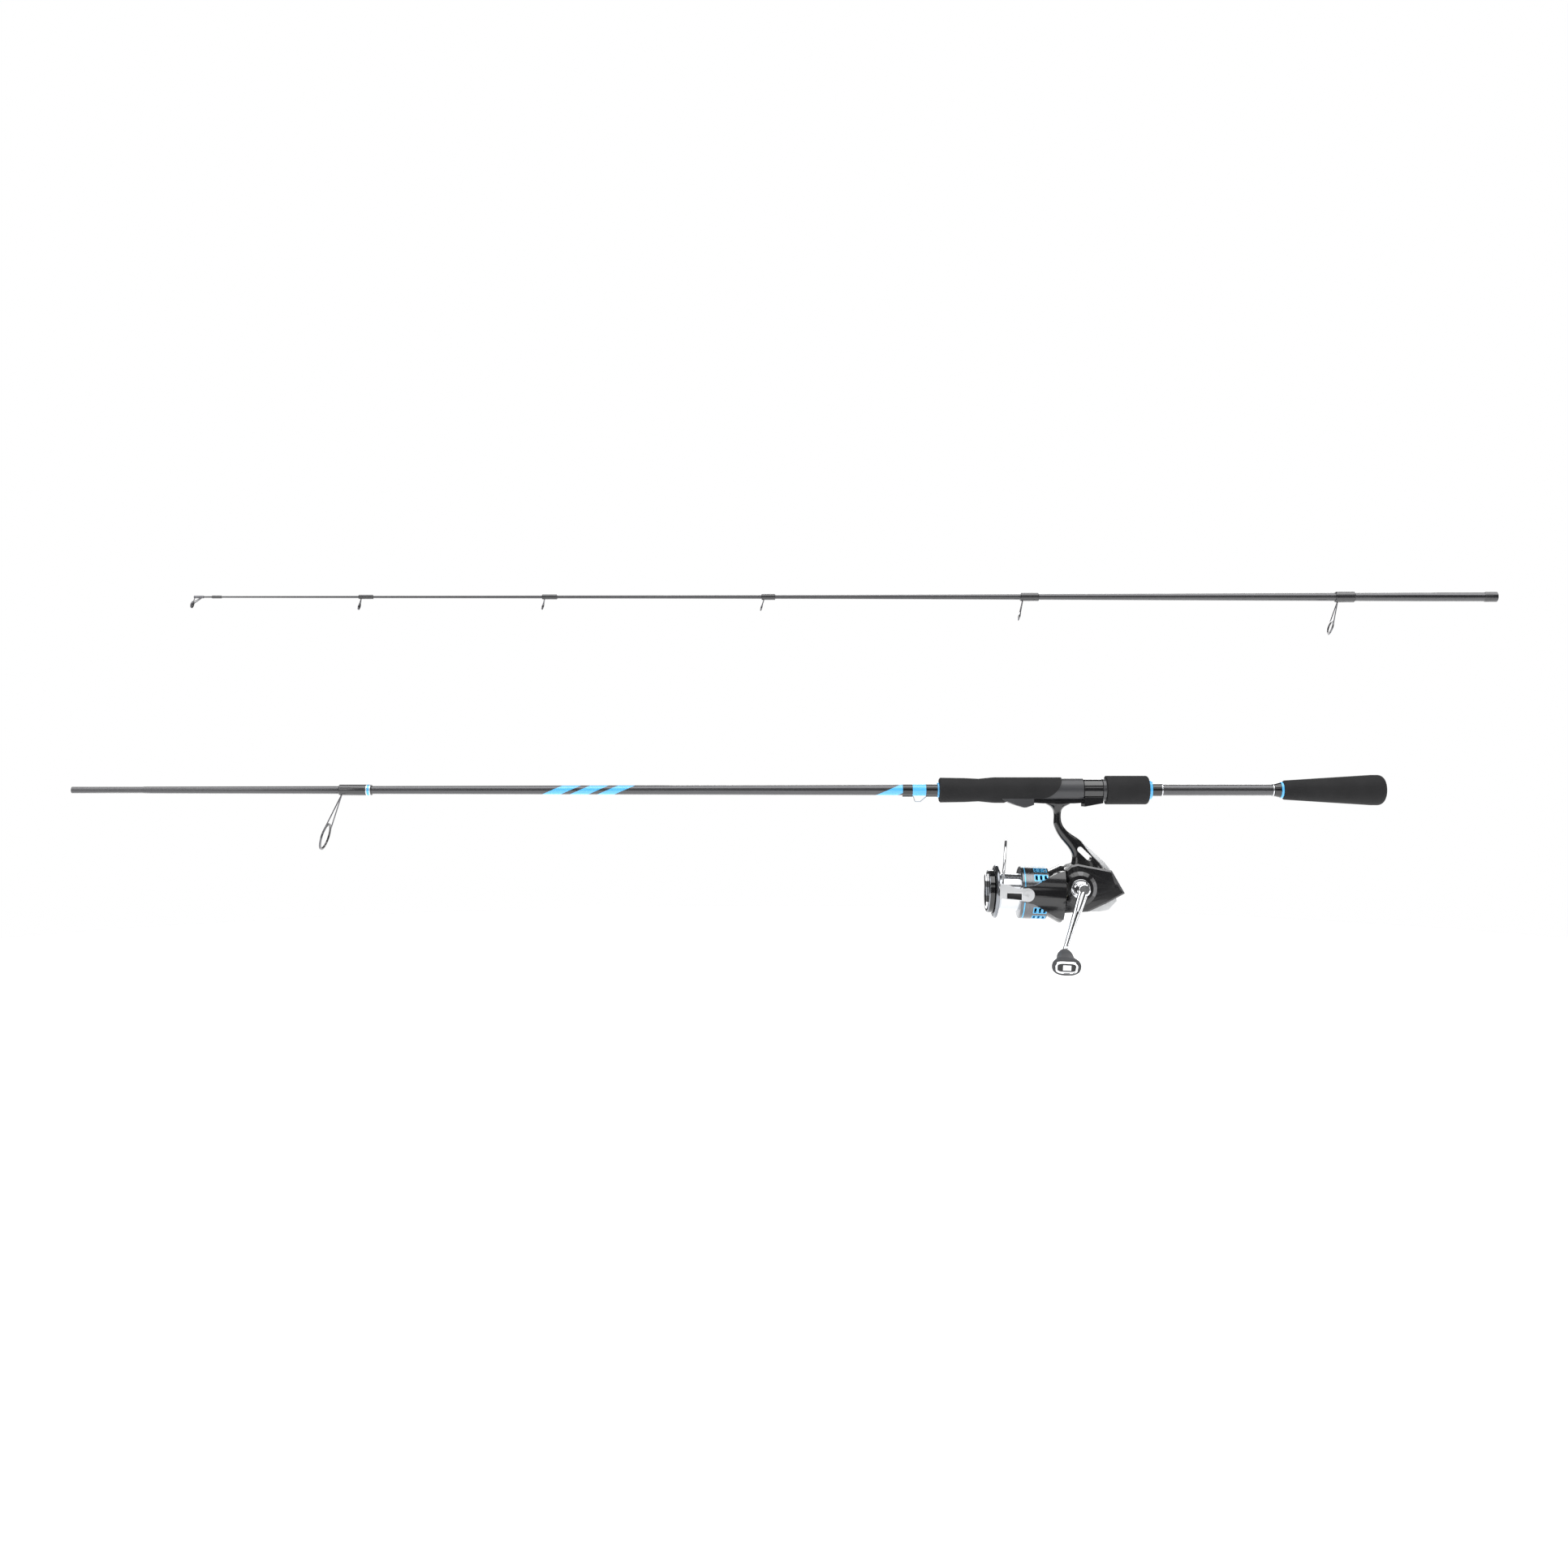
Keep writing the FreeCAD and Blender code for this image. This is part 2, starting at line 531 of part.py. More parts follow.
tip_place = Placement(Vector(0, 0, size("tip_lift")), Rotation())
TIP_BORE = "(ferrule_radius + ferrule_gap)"
TIP_OUTSIDE = [
    ("tip_front", "0"), ("tip_front", "tip_radius"), ("tip_middle", "tip_middle_radius"),
    ("tip_rear - ferrule_length - 30", "tip_rear_radius - 0.15"),
    ("tip_rear - ferrule_length", "tip_rear_radius"), ("tip_rear", "tip_rear_radius")]
turned("tip_blank", TIP_OUTSIDE + [
    ("tip_rear", TIP_BORE), ("tip_rear - ferrule_length", TIP_BORE),
    ("tip_rear - ferrule_length - 6", TIP_BORE + " - 0.4"), ("tip_middle", "0.4"),
    ("tip_middle", "0")], tip_place)
filled_tip = lathe(TIP_OUTSIDE + [("tip_rear", "0")])
turned("ferrule_wrap", [
    ("tip_rear - tip_wrap_length", "tip_rear_radius"),
    ("tip_rear - tip_wrap_length + 1.5", "tip_rear_radius + 0.5"),
    ("tip_rear", "tip_rear_radius + 0.5"), ("tip_rear", "tip_rear_radius")], tip_place)


def tip_section_radius(x):
    """Radius of the tip section's blank at x, in front of the ferrule."""
    middle = size("tip_middle")
    if x < middle:
        share = (x - size("tip_front")) / (middle - size("tip_front"))
        return size("tip_radius") + share * (size("tip_middle_radius") - size("tip_radius"))
    rear = size("tip_rear - ferrule_length - 30")
    share = (x - middle) / (rear - middle)
    return size("tip_middle_radius") + share * (size("tip_rear_radius") - 0.15
                                                - size("tip_middle_radius"))


frames, inserts, wraps = [], [], []
for place in TIP_GUIDES:
    height = tip_section_radius(place[2]) + place[5] * 1.1
    frame, insert, wrap = guide(place, filled_tip, height)
    frames.append(frame)
    inserts.append(insert)
    wraps.append(wrap)
shaped("tip_guide_frames", Part.makeCompound(frames), tip_place)
shaped("tip_guide_rings", Part.makeCompound(inserts), tip_place)

tip_end = size("tip_front")
top_ring_centre = Vector(tip_end - 2.6, 0, -6.4)
tube = Part.makeCylinder(1.15, 8, Vector(tip_end - 1, 0, 0), X_AXIS)
tube = tube.cut(filled_tip)
top_frame = [guide_ring(top_ring_centre, 2.9, 0.6, 1)]
for side in (-1, 1):
    edge = top_ring_centre + Vector(0.5, side * 2.3, 1.1)
    top_frame.append(bar(Vector(tip_end + 5.5, side * 0.85, -0.5), edge, 0.33))
top_frame.append(bar(top_ring_centre + Vector(0.9, 0, 2.5), Vector(tip_end - 0.4, 0, -0.8), 0.33))
top_frame = joined(tube, *top_frame).cut(filled_tip)
top_frame = top_frame.cut(guide_ring(top_ring_centre, 2.3, 2.2, 6))
shaped("tip_top_frame", top_frame, tip_place)
shaped("tip_top_ring", guide_ring(top_ring_centre, 2.3, 0.7, 1.4), tip_place)
tip_wrap = Part.makeCylinder(1.25, 8, Vector(tip_end + 14, 0, 0), X_AXIS)
wraps.append(tip_wrap.makeChamfer(0.2, tip_wrap.Edges).cut(filled_tip))
shaped("tip_guide_wraps", Part.makeCompound(wraps), tip_place)

# ---- the reel's body, about the spool's axis ----

reel = Placement(Vector(0, 0, -size("reel_drop")), Rotation(Y_AXIS, size("reel_tilt")))
HOUSING = [("4.2", "-15.2"), ("4.2", "20.5"), ("8.5", "24.5"), ("14", "26"), ("42.6", "21.6"),
           ("54.2", "3"), ("40.5", "-5.2"), ("24.3", "-13.4")]
drive_x, drive_z = size("drive_x"), size("drive_lift")


def housing_shell(near, far, open_far):
    """One half of the housing: outline between y = near and far, open on one side."""
    solid = slab(HOUSING, near, far)
    corners = [Vector(size(x), 0, size(z)) for x, z in HOUSING]
    inner = Part.Face(Part.makePolygon(corners + corners[:1]))
    inner = inner.makeOffset2D(-size("housing_wall"))
    wall = size("housing_wall")
    low = size(near) + (0 if not open_far else wall)
    high = size(far) - (wall if not open_far else 0)
    inner.translate(Vector(0, low - inner.BoundBox.YMin, 0))
    return solid.cut(inner.extrude(Vector(0, high - low, 0)))


# stations down the stem: height below the rod's axis, middle and half length along the rod,
# and half width
STEM = [
    ("-foot_drop - foot_thickness + 0.4", "0.4", "neck_half_length + 8", "neck_half_width + 2"),
    ("-13.7", "0.3", "neck_half_length + 3.4", "neck_half_width + 1.2"),
    ("-16", "0.1", "neck_half_length + 1", "neck_half_width + 0.4"),
    ("-21", "0.1", "neck_half_length - 0.2", "neck_half_width"),
    ("-28", "0.5", "neck_half_length + 0.4", "neck_half_width"),
    ("-34", "3.6", "neck_half_length + 1.6", "neck_half_width"),
    ("-42", "11.8", "neck_half_length + 4.6", "neck_half_width + 0.3"),
    ("-50", "18.1", "neck_half_length + 4.6", "neck_half_width + 1"),
    ("-57", "22.2", "neck_half_length + 6.6", "neck_half_width + 2"),
    ("-64", "24.3", "neck_half_length + 10.3", "neck_half_width + 3.5"),
    ("-70", "25", "neck_half_length + 13", "neck_half_width + 5"),
]
stem = Part.makeLoft([oval(Vector(size(x), 0, size(z)), size(half_x), size(half_y))
                      for z, x, half_x, half_y in STEM], True, False)
window_low, window_high = Vector(25.8, 0, -56.8), Vector(18.4, 0, -49.6)
window_run = (window_high - window_low).normalize()
window_side = Vector(-window_run.z, 0, window_run.x) * 2.3
window_slot = Part.Face(Part.makePolygon([
    window_low + window_side + Vector(0, -20, 0), window_high + window_side + Vector(0, -20, 0),
    window_high - window_side + Vector(0, -20, 0), window_low - window_side + Vector(0, -20, 0),
    window_low + window_side + Vector(0, -20, 0)])).extrude(Vector(0, 40, 0))
window = joined(window_slot, across(window_low.x, window_low.z, 2.3, -20, 20),
                across(window_high.x, window_high.z, 2.3, -20, 20))
foot = slab([
    ("foot_front", "-foot_drop"), ("foot_rear", "-foot_drop"),
    ("foot_rear", "-foot_drop - foot_tip_thickness"), ("13", "-foot_drop - foot_thickness"),
    ("-13", "-foot_drop - foot_thickness"), ("foot_front", "-foot_drop - foot_tip_thickness")],
    "-foot_half_width", "foot_half_width")
foot_corners = [edge for edge in foot.Edges
                if abs(edge.Vertexes[0].X - edge.Vertexes[-1].X) < 0.01
                and abs(edge.Vertexes[0].Y - edge.Vertexes[-1].Y) < 0.01]
foot = foot.makeFillet(size("foot_half_width") * 0.85, foot_corners)

nose = lathe([
    ("-15", "clutch_radius"), ("-15", "clutch_radius + 1.5"), ("-4", "clutch_radius + 1.5"),
    ("-4", "nose_radius"), ("4.2", "nose_radius"), ("4.2", "nose_radius - 1.6"),
    ("-2.5", "nose_radius - 1.6"), ("-2.5", "bearing_radius"), ("-8", "bearing_radius"),
    ("-8", "clutch_radius")])
nose_room = Part.makeCylinder(size("nose_radius") - 1.6, 3, Vector(3.2, 0, 0), X_AXIS)

osc_angle = math.radians(size("gear_angle"))
osc_reach = size("gear_module * (spur_teeth + oscillation_teeth) / 2")
osc_x = drive_x + osc_reach * math.cos(osc_angle)
osc_z = drive_z + osc_reach * math.sin(osc_angle)
crank_pin_reach = size("stroke / 2")
inside_far = size("housing_far - housing_wall")
SCREWS = [(12.4, 21.6), (7.6, -11), (46.2, 8)]

body_shell = housing_shell("-housing_split", "housing_far", False)
far_boss = across(drive_x, drive_z, 8.2, inside_far, size("housing_far") + 2)
post = across(osc_x, osc_z, 2, 5.3, inside_far + 0.5)
rod_rib = Part.makeBox(2, inside_far + 1.4, 3.3, Vector(17.6, -0.8, 11.5))
screw_posts = [across(x, z, 2.6, -size("housing_split"), inside_far + 0.5)
               .common(slab(HOUSING, "-housing_split", "housing_far")) for x, z in SCREWS]
body = joined(body_shell, far_boss, post, rod_rib, nose, *screw_posts)
body = body.cut(nose_room.cut(nose))
drive_bearing_seat = across(drive_x, drive_z, 5.5, inside_far - 1, size("housing_far") + 1)
guide_rod_line = (Vector(17.6, 1, 13.1), Vector(46.6, 1, 13.1))
guide_rod_shape = bar(*guide_rod_line, 1)
screw_shanks = [across(x, z, 1.1, -size("housing_near") + 1.6, 4) for x, z in SCREWS]
cuts = [drive_bearing_seat, guide_rod_shape,
        across(drive_x, drive_z, size("drive_radius") + 0.4, inside_far - 1,
               size("housing_far") + 1.2)] + screw_shanks
body = body.cut(cuts)
cavity = Part.Face(Part.makePolygon([Vector(size(x), -3, size(z)) for x, z in HOUSING + HOUSING[:1]]))
cavity = cavity.makeOffset2D(-size("housing_wall")).extrude(Vector(0, inside_far + 3, 0))
row_body = moved(body, reel)
row_cavity = moved(cavity, reel)
stem_part = stem.cut(window).cut(row_cavity)
side_room = moved(slab(HOUSING, "-30", "-housing_split"), reel)
reel_body = joined(row_body, foot, stem_part.cut(side_room)).cut(window)
shaped("reel_body", reel_body)

cover_shell = housing_shell("-housing_near", "-housing_split", True)
cover_edges = [edge for edge in cover_shell.Edges
               if edge.BoundBox.YMax < -size("housing_near") + 0.01]
cover_shell = cover_shell.makeChamfer(1.5, cover_edges)
near_boss = Part.makeCone(11, 14.3, 2.2, Vector(drive_x, -size("housing_near") - 2.2, drive_z),
                          Y_AXIS)
near_seat = across(drive_x, drive_z, 7.4, -size("housing_near") - 2.2, -size("housing_near") + 4)
boss_cut = slab(HOUSING, "-housing_near - 5", "-housing_split")
cover = joined(cover_shell, near_boss.common(boss_cut), near_seat)
near_bearing_room = across(drive_x, drive_z, 5.5, -20, -size("housing_near") + 2.2)
near_hub_room = across(drive_x, drive_z, size("drive_radius") + 0.4, -20, -5)
screw_heads = [across(x, z, 2.4, -size("housing_near") - 1, -size("housing_near") + 1.6)
               for x, z in SCREWS]
screw_bosses = [across(x, z, 3.4, -size("housing_near") + 1.5, -size("housing_split"))
                .common(slab(HOUSING, "-housing_near", "-housing_split")) for x, z in SCREWS]
cover = joined(cover, *screw_bosses)
cover = cover.cut([near_bearing_room, near_hub_room, nose_room] + screw_heads + screw_shanks)
shaped("side_cover", cover, reel)

screws = []
for x, z in SCREWS:
    head = across(x, z, 2.4, -size("housing_near") + 0.3, -size("housing_near") + 1.6)
    slot = Part.makeBox(3, 1.0, 0.7, Vector(x - 1.5, -size("housing_near") + 0.3 - 0.01, z - 0.35))
    cross = Part.makeBox(0.7, 1.0, 3, Vector(x - 0.35, -size("housing_near") + 0.3 - 0.01, z - 1.5))
    shank = across(x, z, 1.1, -size("housing_near") + 1.6, 4)
    screws.append(joined(head, shank).cut(slot).cut(cross))
shaped("body_screws", Part.makeCompound(screws), reel)

guard_top = slab([
    ("17.5", "-41.2"), ("22.2", "-45.2"), ("31.6", "-53.5"), ("39.4", "-60.7"), ("44", "-66.6"),
    ("41.2", "-66.9"), ("31", "-59"), ("22", "-47")], "-2.6", "2.6")
guard_top = guard_top.cut([stem.cut(window), row_body, moved(slab(HOUSING, "-13", "12"), reel)])
guard_top = max(guard_top.Solids, key=lambda solid: solid.Volume)
guard_low = slab([("24.3", "-13.4"), ("40.5", "-5.2"), ("48", "-0.7"), ("48.6", "-4"),
                  ("42", "-11.4"), ("33", "-13.4")], "-7", "7")
guard_low = moved(guard_low, reel)
shaped("rear_guard", Part.makeCompound([guard_top, guard_low]))

turned("handle_ring", ring("housing_near + 2.2", "housing_near + 4.2", "5.6", "8.1"),
       reel.multiply(Placement(Vector(drive_x, 0, drive_z), Rotation(Z_AXIS, -90))))
crank_axis = reel.multiply(Placement(Vector(drive_x, 0, drive_z), Rotation(Z_AXIS, -90)))
HUB_BORE = "(drive_radius + fit)"
group("drive_bearings", [
    turned_body("near_bearing", ring("housing_near - 2.2", "housing_near + 2", HUB_BORE, "5.5"),
                crank_axis),
    turned_body("far_bearing", ring("-housing_far - 1", "-housing_far + housing_wall + 1",
                                    HUB_BORE, "5.5"), crank_axis)])
turned("handle_cap", [
    ("-housing_far - 2", "0"), ("-housing_far - 2", "7.6"), ("-housing_far - 4.4", "6.8"),
    ("-housing_far - 5", "5.6"), ("-housing_far - 5", "0")], crank_axis)
PINION_BORE = "(pinion_radius + fit)"
turned("pinion_bearing", ring("-7.6", "-3", PINION_BORE, "bearing_radius"), reel)
turned("one_way_clutch", ring("-14.6", "-8", PINION_BORE, "clutch_radius"), reel)
shaped("guide_rod", guide_rod_shape, reel)


# ---- gears and shafts ----

def toothed(teeth, phase, near, far):
    """A spur gear about Y at the origin, with one tooth pointing at the phase angle."""
    module = size("gear_module")
    pitch = module * teeth / 2
    corners = []
    for tooth in range(teeth):
        middle = phase + 2 * math.pi * tooth / teeth
        for radius, share in ((pitch - 1.15 * module, -0.36), (pitch, -0.21),
                              (pitch + 0.8 * module, -0.1), (pitch + 0.8 * module, 0.1),
                              (pitch, 0.21), (pitch - 1.15 * module, 0.36)):
            angle = middle + share * 2 * math.pi / teeth
            corners.append(Vector(radius * math.cos(angle), near, radius * math.sin(angle)))
    face = Part.Face(Part.makePolygon(corners + corners[:1]))
    return face.extrude(Vector(0, far - near, 0))


spur_teeth, osc_teeth = int(size("spur_teeth")), int(size("oscillation_teeth"))
hub_radius = size("drive_radius")
bore = across(0, 0, size("shank_radius") + 0.02, -30, inside_far - 1.5)
disc = across(0, 0, size("gear_radius"), -7.5, -5)
FACE_TEETH = 40
face_teeth = []
for tooth in range(FACE_TEETH):
    block = Part.makeBox(4, 1.1, 0.9, Vector(size("gear_radius") - 4.2, -5.05, -0.45))
    face_teeth.append(moved(block, Placement(Vector(), Rotation(Y_AXIS, tooth * 360 / FACE_TEETH))))
drive_gear = joined(
    across(0, 0, hub_radius, -size("housing_near") - 2, size("housing_far") + 0.8), disc,
    toothed(spur_teeth, osc_angle, 5.5, 8.5), *face_teeth).cut(bore)
at_drive = Placement(Vector(drive_x, 0, drive_z), Rotation())
shaped("drive_gear", drive_gear, reel.multiply(at_drive))

osc_gear = toothed(osc_teeth, osc_angle + math.pi + math.pi / osc_teeth, 5.6, 8.4)
osc_gear = osc_gear.cut(across(0, 0, 2 + size("fit"), 0, 20))
osc_gear = joined(osc_gear, across(crank_pin_reach, 0, 1.3, 4.9, 6))
shaped("oscillation_gear", osc_gear, reel.multiply(Placement(Vector(osc_x, 0, osc_z), Rotation())))

slider_x = osc_x + crank_pin_reach
slider = Part.makeBox(5, 7.8, 19.6, Vector(slider_x - 2.5, -3.4, -2.6))
slot = Part.makeBox(2.9, 2.2, 16.4, Vector(slider_x - 1.45, 2.3, osc_z - 8.2))
slider = slider.cut([slot, bar(Vector(-90, 0, 0), Vector(90, 0, 0), size("shaft_radius")),
                     bar(Vector(0, 1, 13.1), Vector(60, 1, 13.1), 1 + size("fit"))])
shaped("oscillation_slider", slider, reel)
shaped("main_shaft", bar(Vector(-57, 0, 0), Vector(slider_x + 2.5, 0, 0), size("shaft_radius")),
       reel)
turned("spool_washer", ring("-30.3", "-29.3", "shaft_radius", "6.5"), reel)

pinion_teeth = []
for tooth in range(8):
    block = Part.makeBox(6.4, 1, 0.8, Vector(5, -0.5, size("pinion_radius") - 0.3))
    pinion_teeth.append(moved(block, Placement(Vector(), Rotation(X_AXIS, tooth * 45 + 22.5))))
pinion = joined(bar(Vector(-28.6, 0, 0), Vector(11.4, 0, 0), size("pinion_radius")),
                *pinion_teeth)
pinion = pinion.cut(bar(Vector(-90, 0, 0), Vector(90, 0, 0), size("shaft_radius + fit")))
shaped("pinion", pinion, reel)
nut_corners = [Vector(-28.5, 6 * math.cos(math.radians(60 * k)), 6 * math.sin(math.radians(60 * k)))
               for k in range(6)]
rotor_nut = Part.Face(Part.makePolygon(nut_corners + nut_corners[:1])).extrude(Vector(3, 0, 0))
shaped("rotor_nut", rotor_nut.cut(bar(Vector(-90, 0, 0), Vector(90, 0, 0),
                                      size("pinion_radius"))), reel)

# ---- the rotor and its bail ----

bail_x = size("bail_x")
arm_inner, arm_outer = size("rotor_arm_inner"), size("rotor_arm_outer")
end_radius = size("rotor_arm_end")
cup = lathe([
    ("-25.5", "pinion_radius"), ("-25.5", "rotor_drum_radius"), ("-9.5", "rotor_drum_radius"),
    ("1.2", "rotor_radius"), ("3", "rotor_radius"), ("3", "nose_radius + 0.7"),
    ("-5", "nose_radius + 0.7"), ("-8", "rotor_drum_radius - 1.7"),
    ("-23.5", "rotor_drum_radius - 1.7"), ("-23.5", "6.5"), ("-15.4", "6.5"),
    ("-15.4", "pinion_radius")])
arm_shell = lathe([("-40", "rotor_arm_inner"), ("-40", "rotor_arm_outer"),
                   ("2.4", "rotor_arm_outer"), ("2.4", "rotor_radius - 2"),
                   ("-4", "nose_radius + 1.2"), ("-8", "rotor_arm_inner")])
arm_face = slab([("2.6", "-20.5"), ("2.6", "20.5"), ("-4", "18.5"),
                 (f"{bail_x + 6}", "7.6"), (f"{bail_x}", f"{end_radius}"),
                 (f"{bail_x}", f"{-end_radius}"), (f"{bail_x + 6}", "-7.6"), ("-4", "-18.5")],
                "-40", "40")
arm_face = joined(arm_face, across(bail_x, 0, end_radius, -40, 40))
arms = arm_shell.common(arm_face)
pad_outer = arm_outer + size("slip")
pads = [across(bail_x, 0, end_radius - 0.5, arm_inner + 1, pad_outer),
        across(bail_x, 0, end_radius - 0.5, -pad_outer, -arm_inner - 1)]
sides = [solid for solid in arms.Solids]
rotor = joined(cup, *sides, *pads)
pin = size("bail_pin_radius")
rotor = rotor.cut(across(bail_x, 0, pin, -40, 40))
shaped("rotor", rotor, reel)

plate_near = pad_outer + size("slip")
plate_far = plate_near + size("bail_thickness")
screw_reach = plate_far + size("slip")
bail_screws = []
for side in (-1, 1):
    shank = across(bail_x, 0, pin, side * arm_inner, side * screw_reach)
    head = across(bail_x, 0, 3.6, side * screw_reach, side * (screw_reach + 1.4))
    cut_y = side * (screw_reach + 1.4)
    recess = Part.makeBox(4, 1.6, 0.9, Vector(bail_x - 2, cut_y - 0.8, -0.45))
    recess = recess.fuse(Part.makeBox(0.9, 1.6, 4, Vector(bail_x - 0.45, cut_y - 0.8, -2)))
    bail_screws.append(joined(shank, head).cut(recess))
shaped("bail_screws", Part.makeCompound(bail_screws), reel)

roller_x, roller_y = size("roller_x"), -size("roller_out")
pin_hole = across(bail_x, 0, pin + size("fit"), -40, 40)
bail_plate = joined(
    across(bail_x, 0, 5.6, -plate_far, -plate_near),
    slab([(f"{bail_x}", "-5.6"), (f"{bail_x}", "5.6"), (f"{bail_x - 8}", "4.6"),
          (f"{roller_x + 3}", "8.2"), (f"{roller_x - 3}", "8.2"), (f"{roller_x - 3}", "-3.8"),
          (f"{bail_x - 8}", "-4.6")], f"{-plate_far}", f"{-plate_near}"))
lugs = []
for low, high in ((-3.8, -2), (6.2, 8.2)):
    lug = Part.makeBox(6, plate_far - 0.4 + roller_y + 3, high - low,
                       Vector(roller_x - 3, -plate_far + 0.4, low))
    lugs.append(lug)
    lugs.append(Part.makeCylinder(3, high - low, Vector(roller_x, roller_y, low), Z_AXIS))
axle = Part.makeCylinder(1.2, 9, Vector(roller_x, roller_y, -2.5), Z_AXIS)
bail_arm = joined(bail_plate, *lugs, axle).cut(pin_hole)
shaped("bail_arm", bail_arm, reel)
shaped("line_roller", moved(lathe([
    ("-1.8", "1.2 + fit"), ("-1.8", "roller_radius"), ("0.8", "roller_radius - 0.6"),
    ("3.4", "roller_radius - 0.6"), ("6", "roller_radius"), ("6", "1.2 + fit")]),
    Placement(Vector(roller_x, roller_y, 0), Rotation(Y_AXIS, -90))), reel)
shaped("bail_lever", joined(
    across(bail_x, 0, 5.2, plate_near, plate_far),
    slab([(f"{bail_x}", "-5.2"), (f"{bail_x}", "5.2"), ("lever_x + 4", "7"),
          ("lever_x - 2", "7"), ("lever_x - 2", "2"), (f"{bail_x - 7}", "-3.8")],
         f"{plate_near}", f"{plate_far}"),
    Part.makeBox(5, plate_far + roller_y + 2, 4, Vector(size("lever_x") - 2, -roller_y - 2, 3))
).cut(pin_hole), reel)

arch_base = 8.2
arch_height = size("bail_top - bail_wire_radius") - arch_base
arch_middle = size("(roller_x + lever_x) / 2")
arch_skew = size("(lever_x - roller_x) / 2")
arch_lean = 1
wire_points = []
for step in range(9):
    angle = math.pi * step / 8
    wire_points.append(Vector(
        arch_middle - arch_skew * math.cos(angle) + arch_lean * math.sin(angle),
        roller_y * math.cos(angle), arch_base + arch_height * math.sin(angle)))
arch = Part.BSplineCurve()
arch.interpolate(Points=wire_points, InitialTangent=Vector(0, 0, 1), FinalTangent=Vector(0, 0, -1))
low_end = wire_points[-1] - Vector(0, 0, 1.2)
bail_wire = swept([arch.toShape(), Part.LineSegment(wire_points[-1], low_end).toShape()],
                  size("bail_wire_radius"))
shaped("bail_wire", bail_wire, reel)

# ---- the spool and its drag ----

SPOOL_BORE = "(shaft_radius + fit)"
spool = lathe([
    ("-42", SPOOL_BORE), ("-42", "arbor_radius - 2"), ("-51.5", "arbor_radius - 2"),
    ("-51.5", "knob_radius + slip"), ("-53.6", "knob_radius + slip"),
    ("-53.6", "lip_radius - 2.4"), ("-50.2", "lip_radius - 2.4"), ("-48.2", "arbor_radius"),
    ("-33", "arbor_radius"), ("-32.6", "spool_radius - 0.6"), ("-32", "spool_radius"),
    ("-10", "spool_radius"), ("-10", "spool_radius - skirt_wall"),
    ("-30.6", "spool_radius - skirt_wall"), ("-30.6", SPOOL_BORE)])
ports = []
for port_x in (-20.4, -16.6, -12.8):
    for turn in range(14):
        block = Part.makeBox(2, 5.2, 4, Vector(port_x - 1, -2.6, size("spool_radius") - 3))
        ports.append(moved(block, Placement(Vector(), Rotation(X_AXIS, turn * 360 / 14))))
shaped("spool", spool.cut(ports), reel)
turned("spool_lip", [
    ("-53.6", "lip_radius - 2.4"), ("-53.6", "lip_radius - 1.2"), ("-52.4", "lip_radius"),
    ("-51", "lip_radius"), ("-50.2", "lip_radius - 2.4")], reel)
group("drag_washers", [
    turned_body(f"drag_washer_{place}", ring(f"-42 - {place + 1} * 0.8", f"-42 - {place} * 0.8",
                                             "shaft_radius + 0.4", "arbor_radius - 2.2"), reel)
    for place in range(3)])
turned("drag_knob", [
    ("-58.6", "0"), ("-58.6", "knob_radius - 1.5"), ("-54.2", "knob_radius - 1.5"),
    ("-54.2", "arbor_radius - 2.6"), ("-44.8", "arbor_radius - 2.6"), ("-44.8", SPOOL_BORE),
    ("-57.3", SPOOL_BORE), ("-57.3", "0")], reel)
turned("drag_knob_ring", [
    ("-58.9", "knob_radius - 1.5"), ("-58.9", "knob_radius - 0.7"), ("-58", "knob_radius"),
    ("-54.2", "knob_radius"), ("-54.2", "knob_radius - 1.5")], reel)
knob_bar = Part.makeBox(2, 2 * size("knob_radius") - 6, 5,
                        Vector(-60.6, -size("knob_radius") + 3, -2.5))
knob_bar = knob_bar.makeChamfer(0.8, [edge for edge in knob_bar.Edges
                                      if edge.BoundBox.XMax < -60.5])
shaped("drag_knob_bar", moved(knob_bar, Placement(Vector(), Rotation(X_AXIS, 62))), reel)

# ---- the crank and its knob ----

crank = reel.multiply(at_drive).multiply(
    Placement(Vector(), Rotation(Y_AXIS, size("crank_lean - reel_tilt"))))
turned("handle_collar", [
    ("housing_near + 4.6", "shank_radius + 0.02"), ("housing_near + 4.6", "6.6"),
    ("housing_near + 7.5", "6.6"), ("housing_near + 8.5", "4.9"), ("crank_out - 4", "4.9"),
    ("crank_out - 4", "shank_radius + 0.02")],
    reel.multiply(Placement(Vector(drive_x, 0, drive_z), Rotation(Z_AXIS, -90))))
splay = math.radians(size("crank_splay"))
out = size("crank_out")
length = size("crank_length")


def along_arm(distance):
    """A point on the arm's middle line, this far from the hub."""
    return Vector(0, -out - distance * math.sin(splay), -distance * math.cos(splay))


arm = Part.makeLoft([oval(along_arm(place), half_x, half_y) for place, half_x, half_y in
                     ((1, 4.4, 2.9), (12, 4, 2.6), (30, 3.2, 2.3), (length, 2.5, 2.3))],
                    True, False)
hub = across(0, 0, 5.2, -out - 3.2, -out + 4)
hub = hub.makeFillet(1.6, [edge for edge in hub.Edges if edge.BoundBox.YMax < -out])
shank = across(0, 0, size("shank_radius"), -out, inside_far - 2)
knob_run = Vector(0, -math.cos(splay), -math.sin(splay))
arm_end = along_arm(length)
eye = bar(arm_end - knob_run * 2.4, arm_end + knob_run * 2.4, 3.2)
shaped("handle_arm", joined(arm, hub, shank, eye), crank)
knob_start = arm_end + knob_run * (2.4 + size("slip"))
knob_length = size("knob_length")
shaft = bar(arm_end + knob_run * 2.4, knob_start + knob_run * (knob_length - 3),
            size("knob_shaft_radius"))
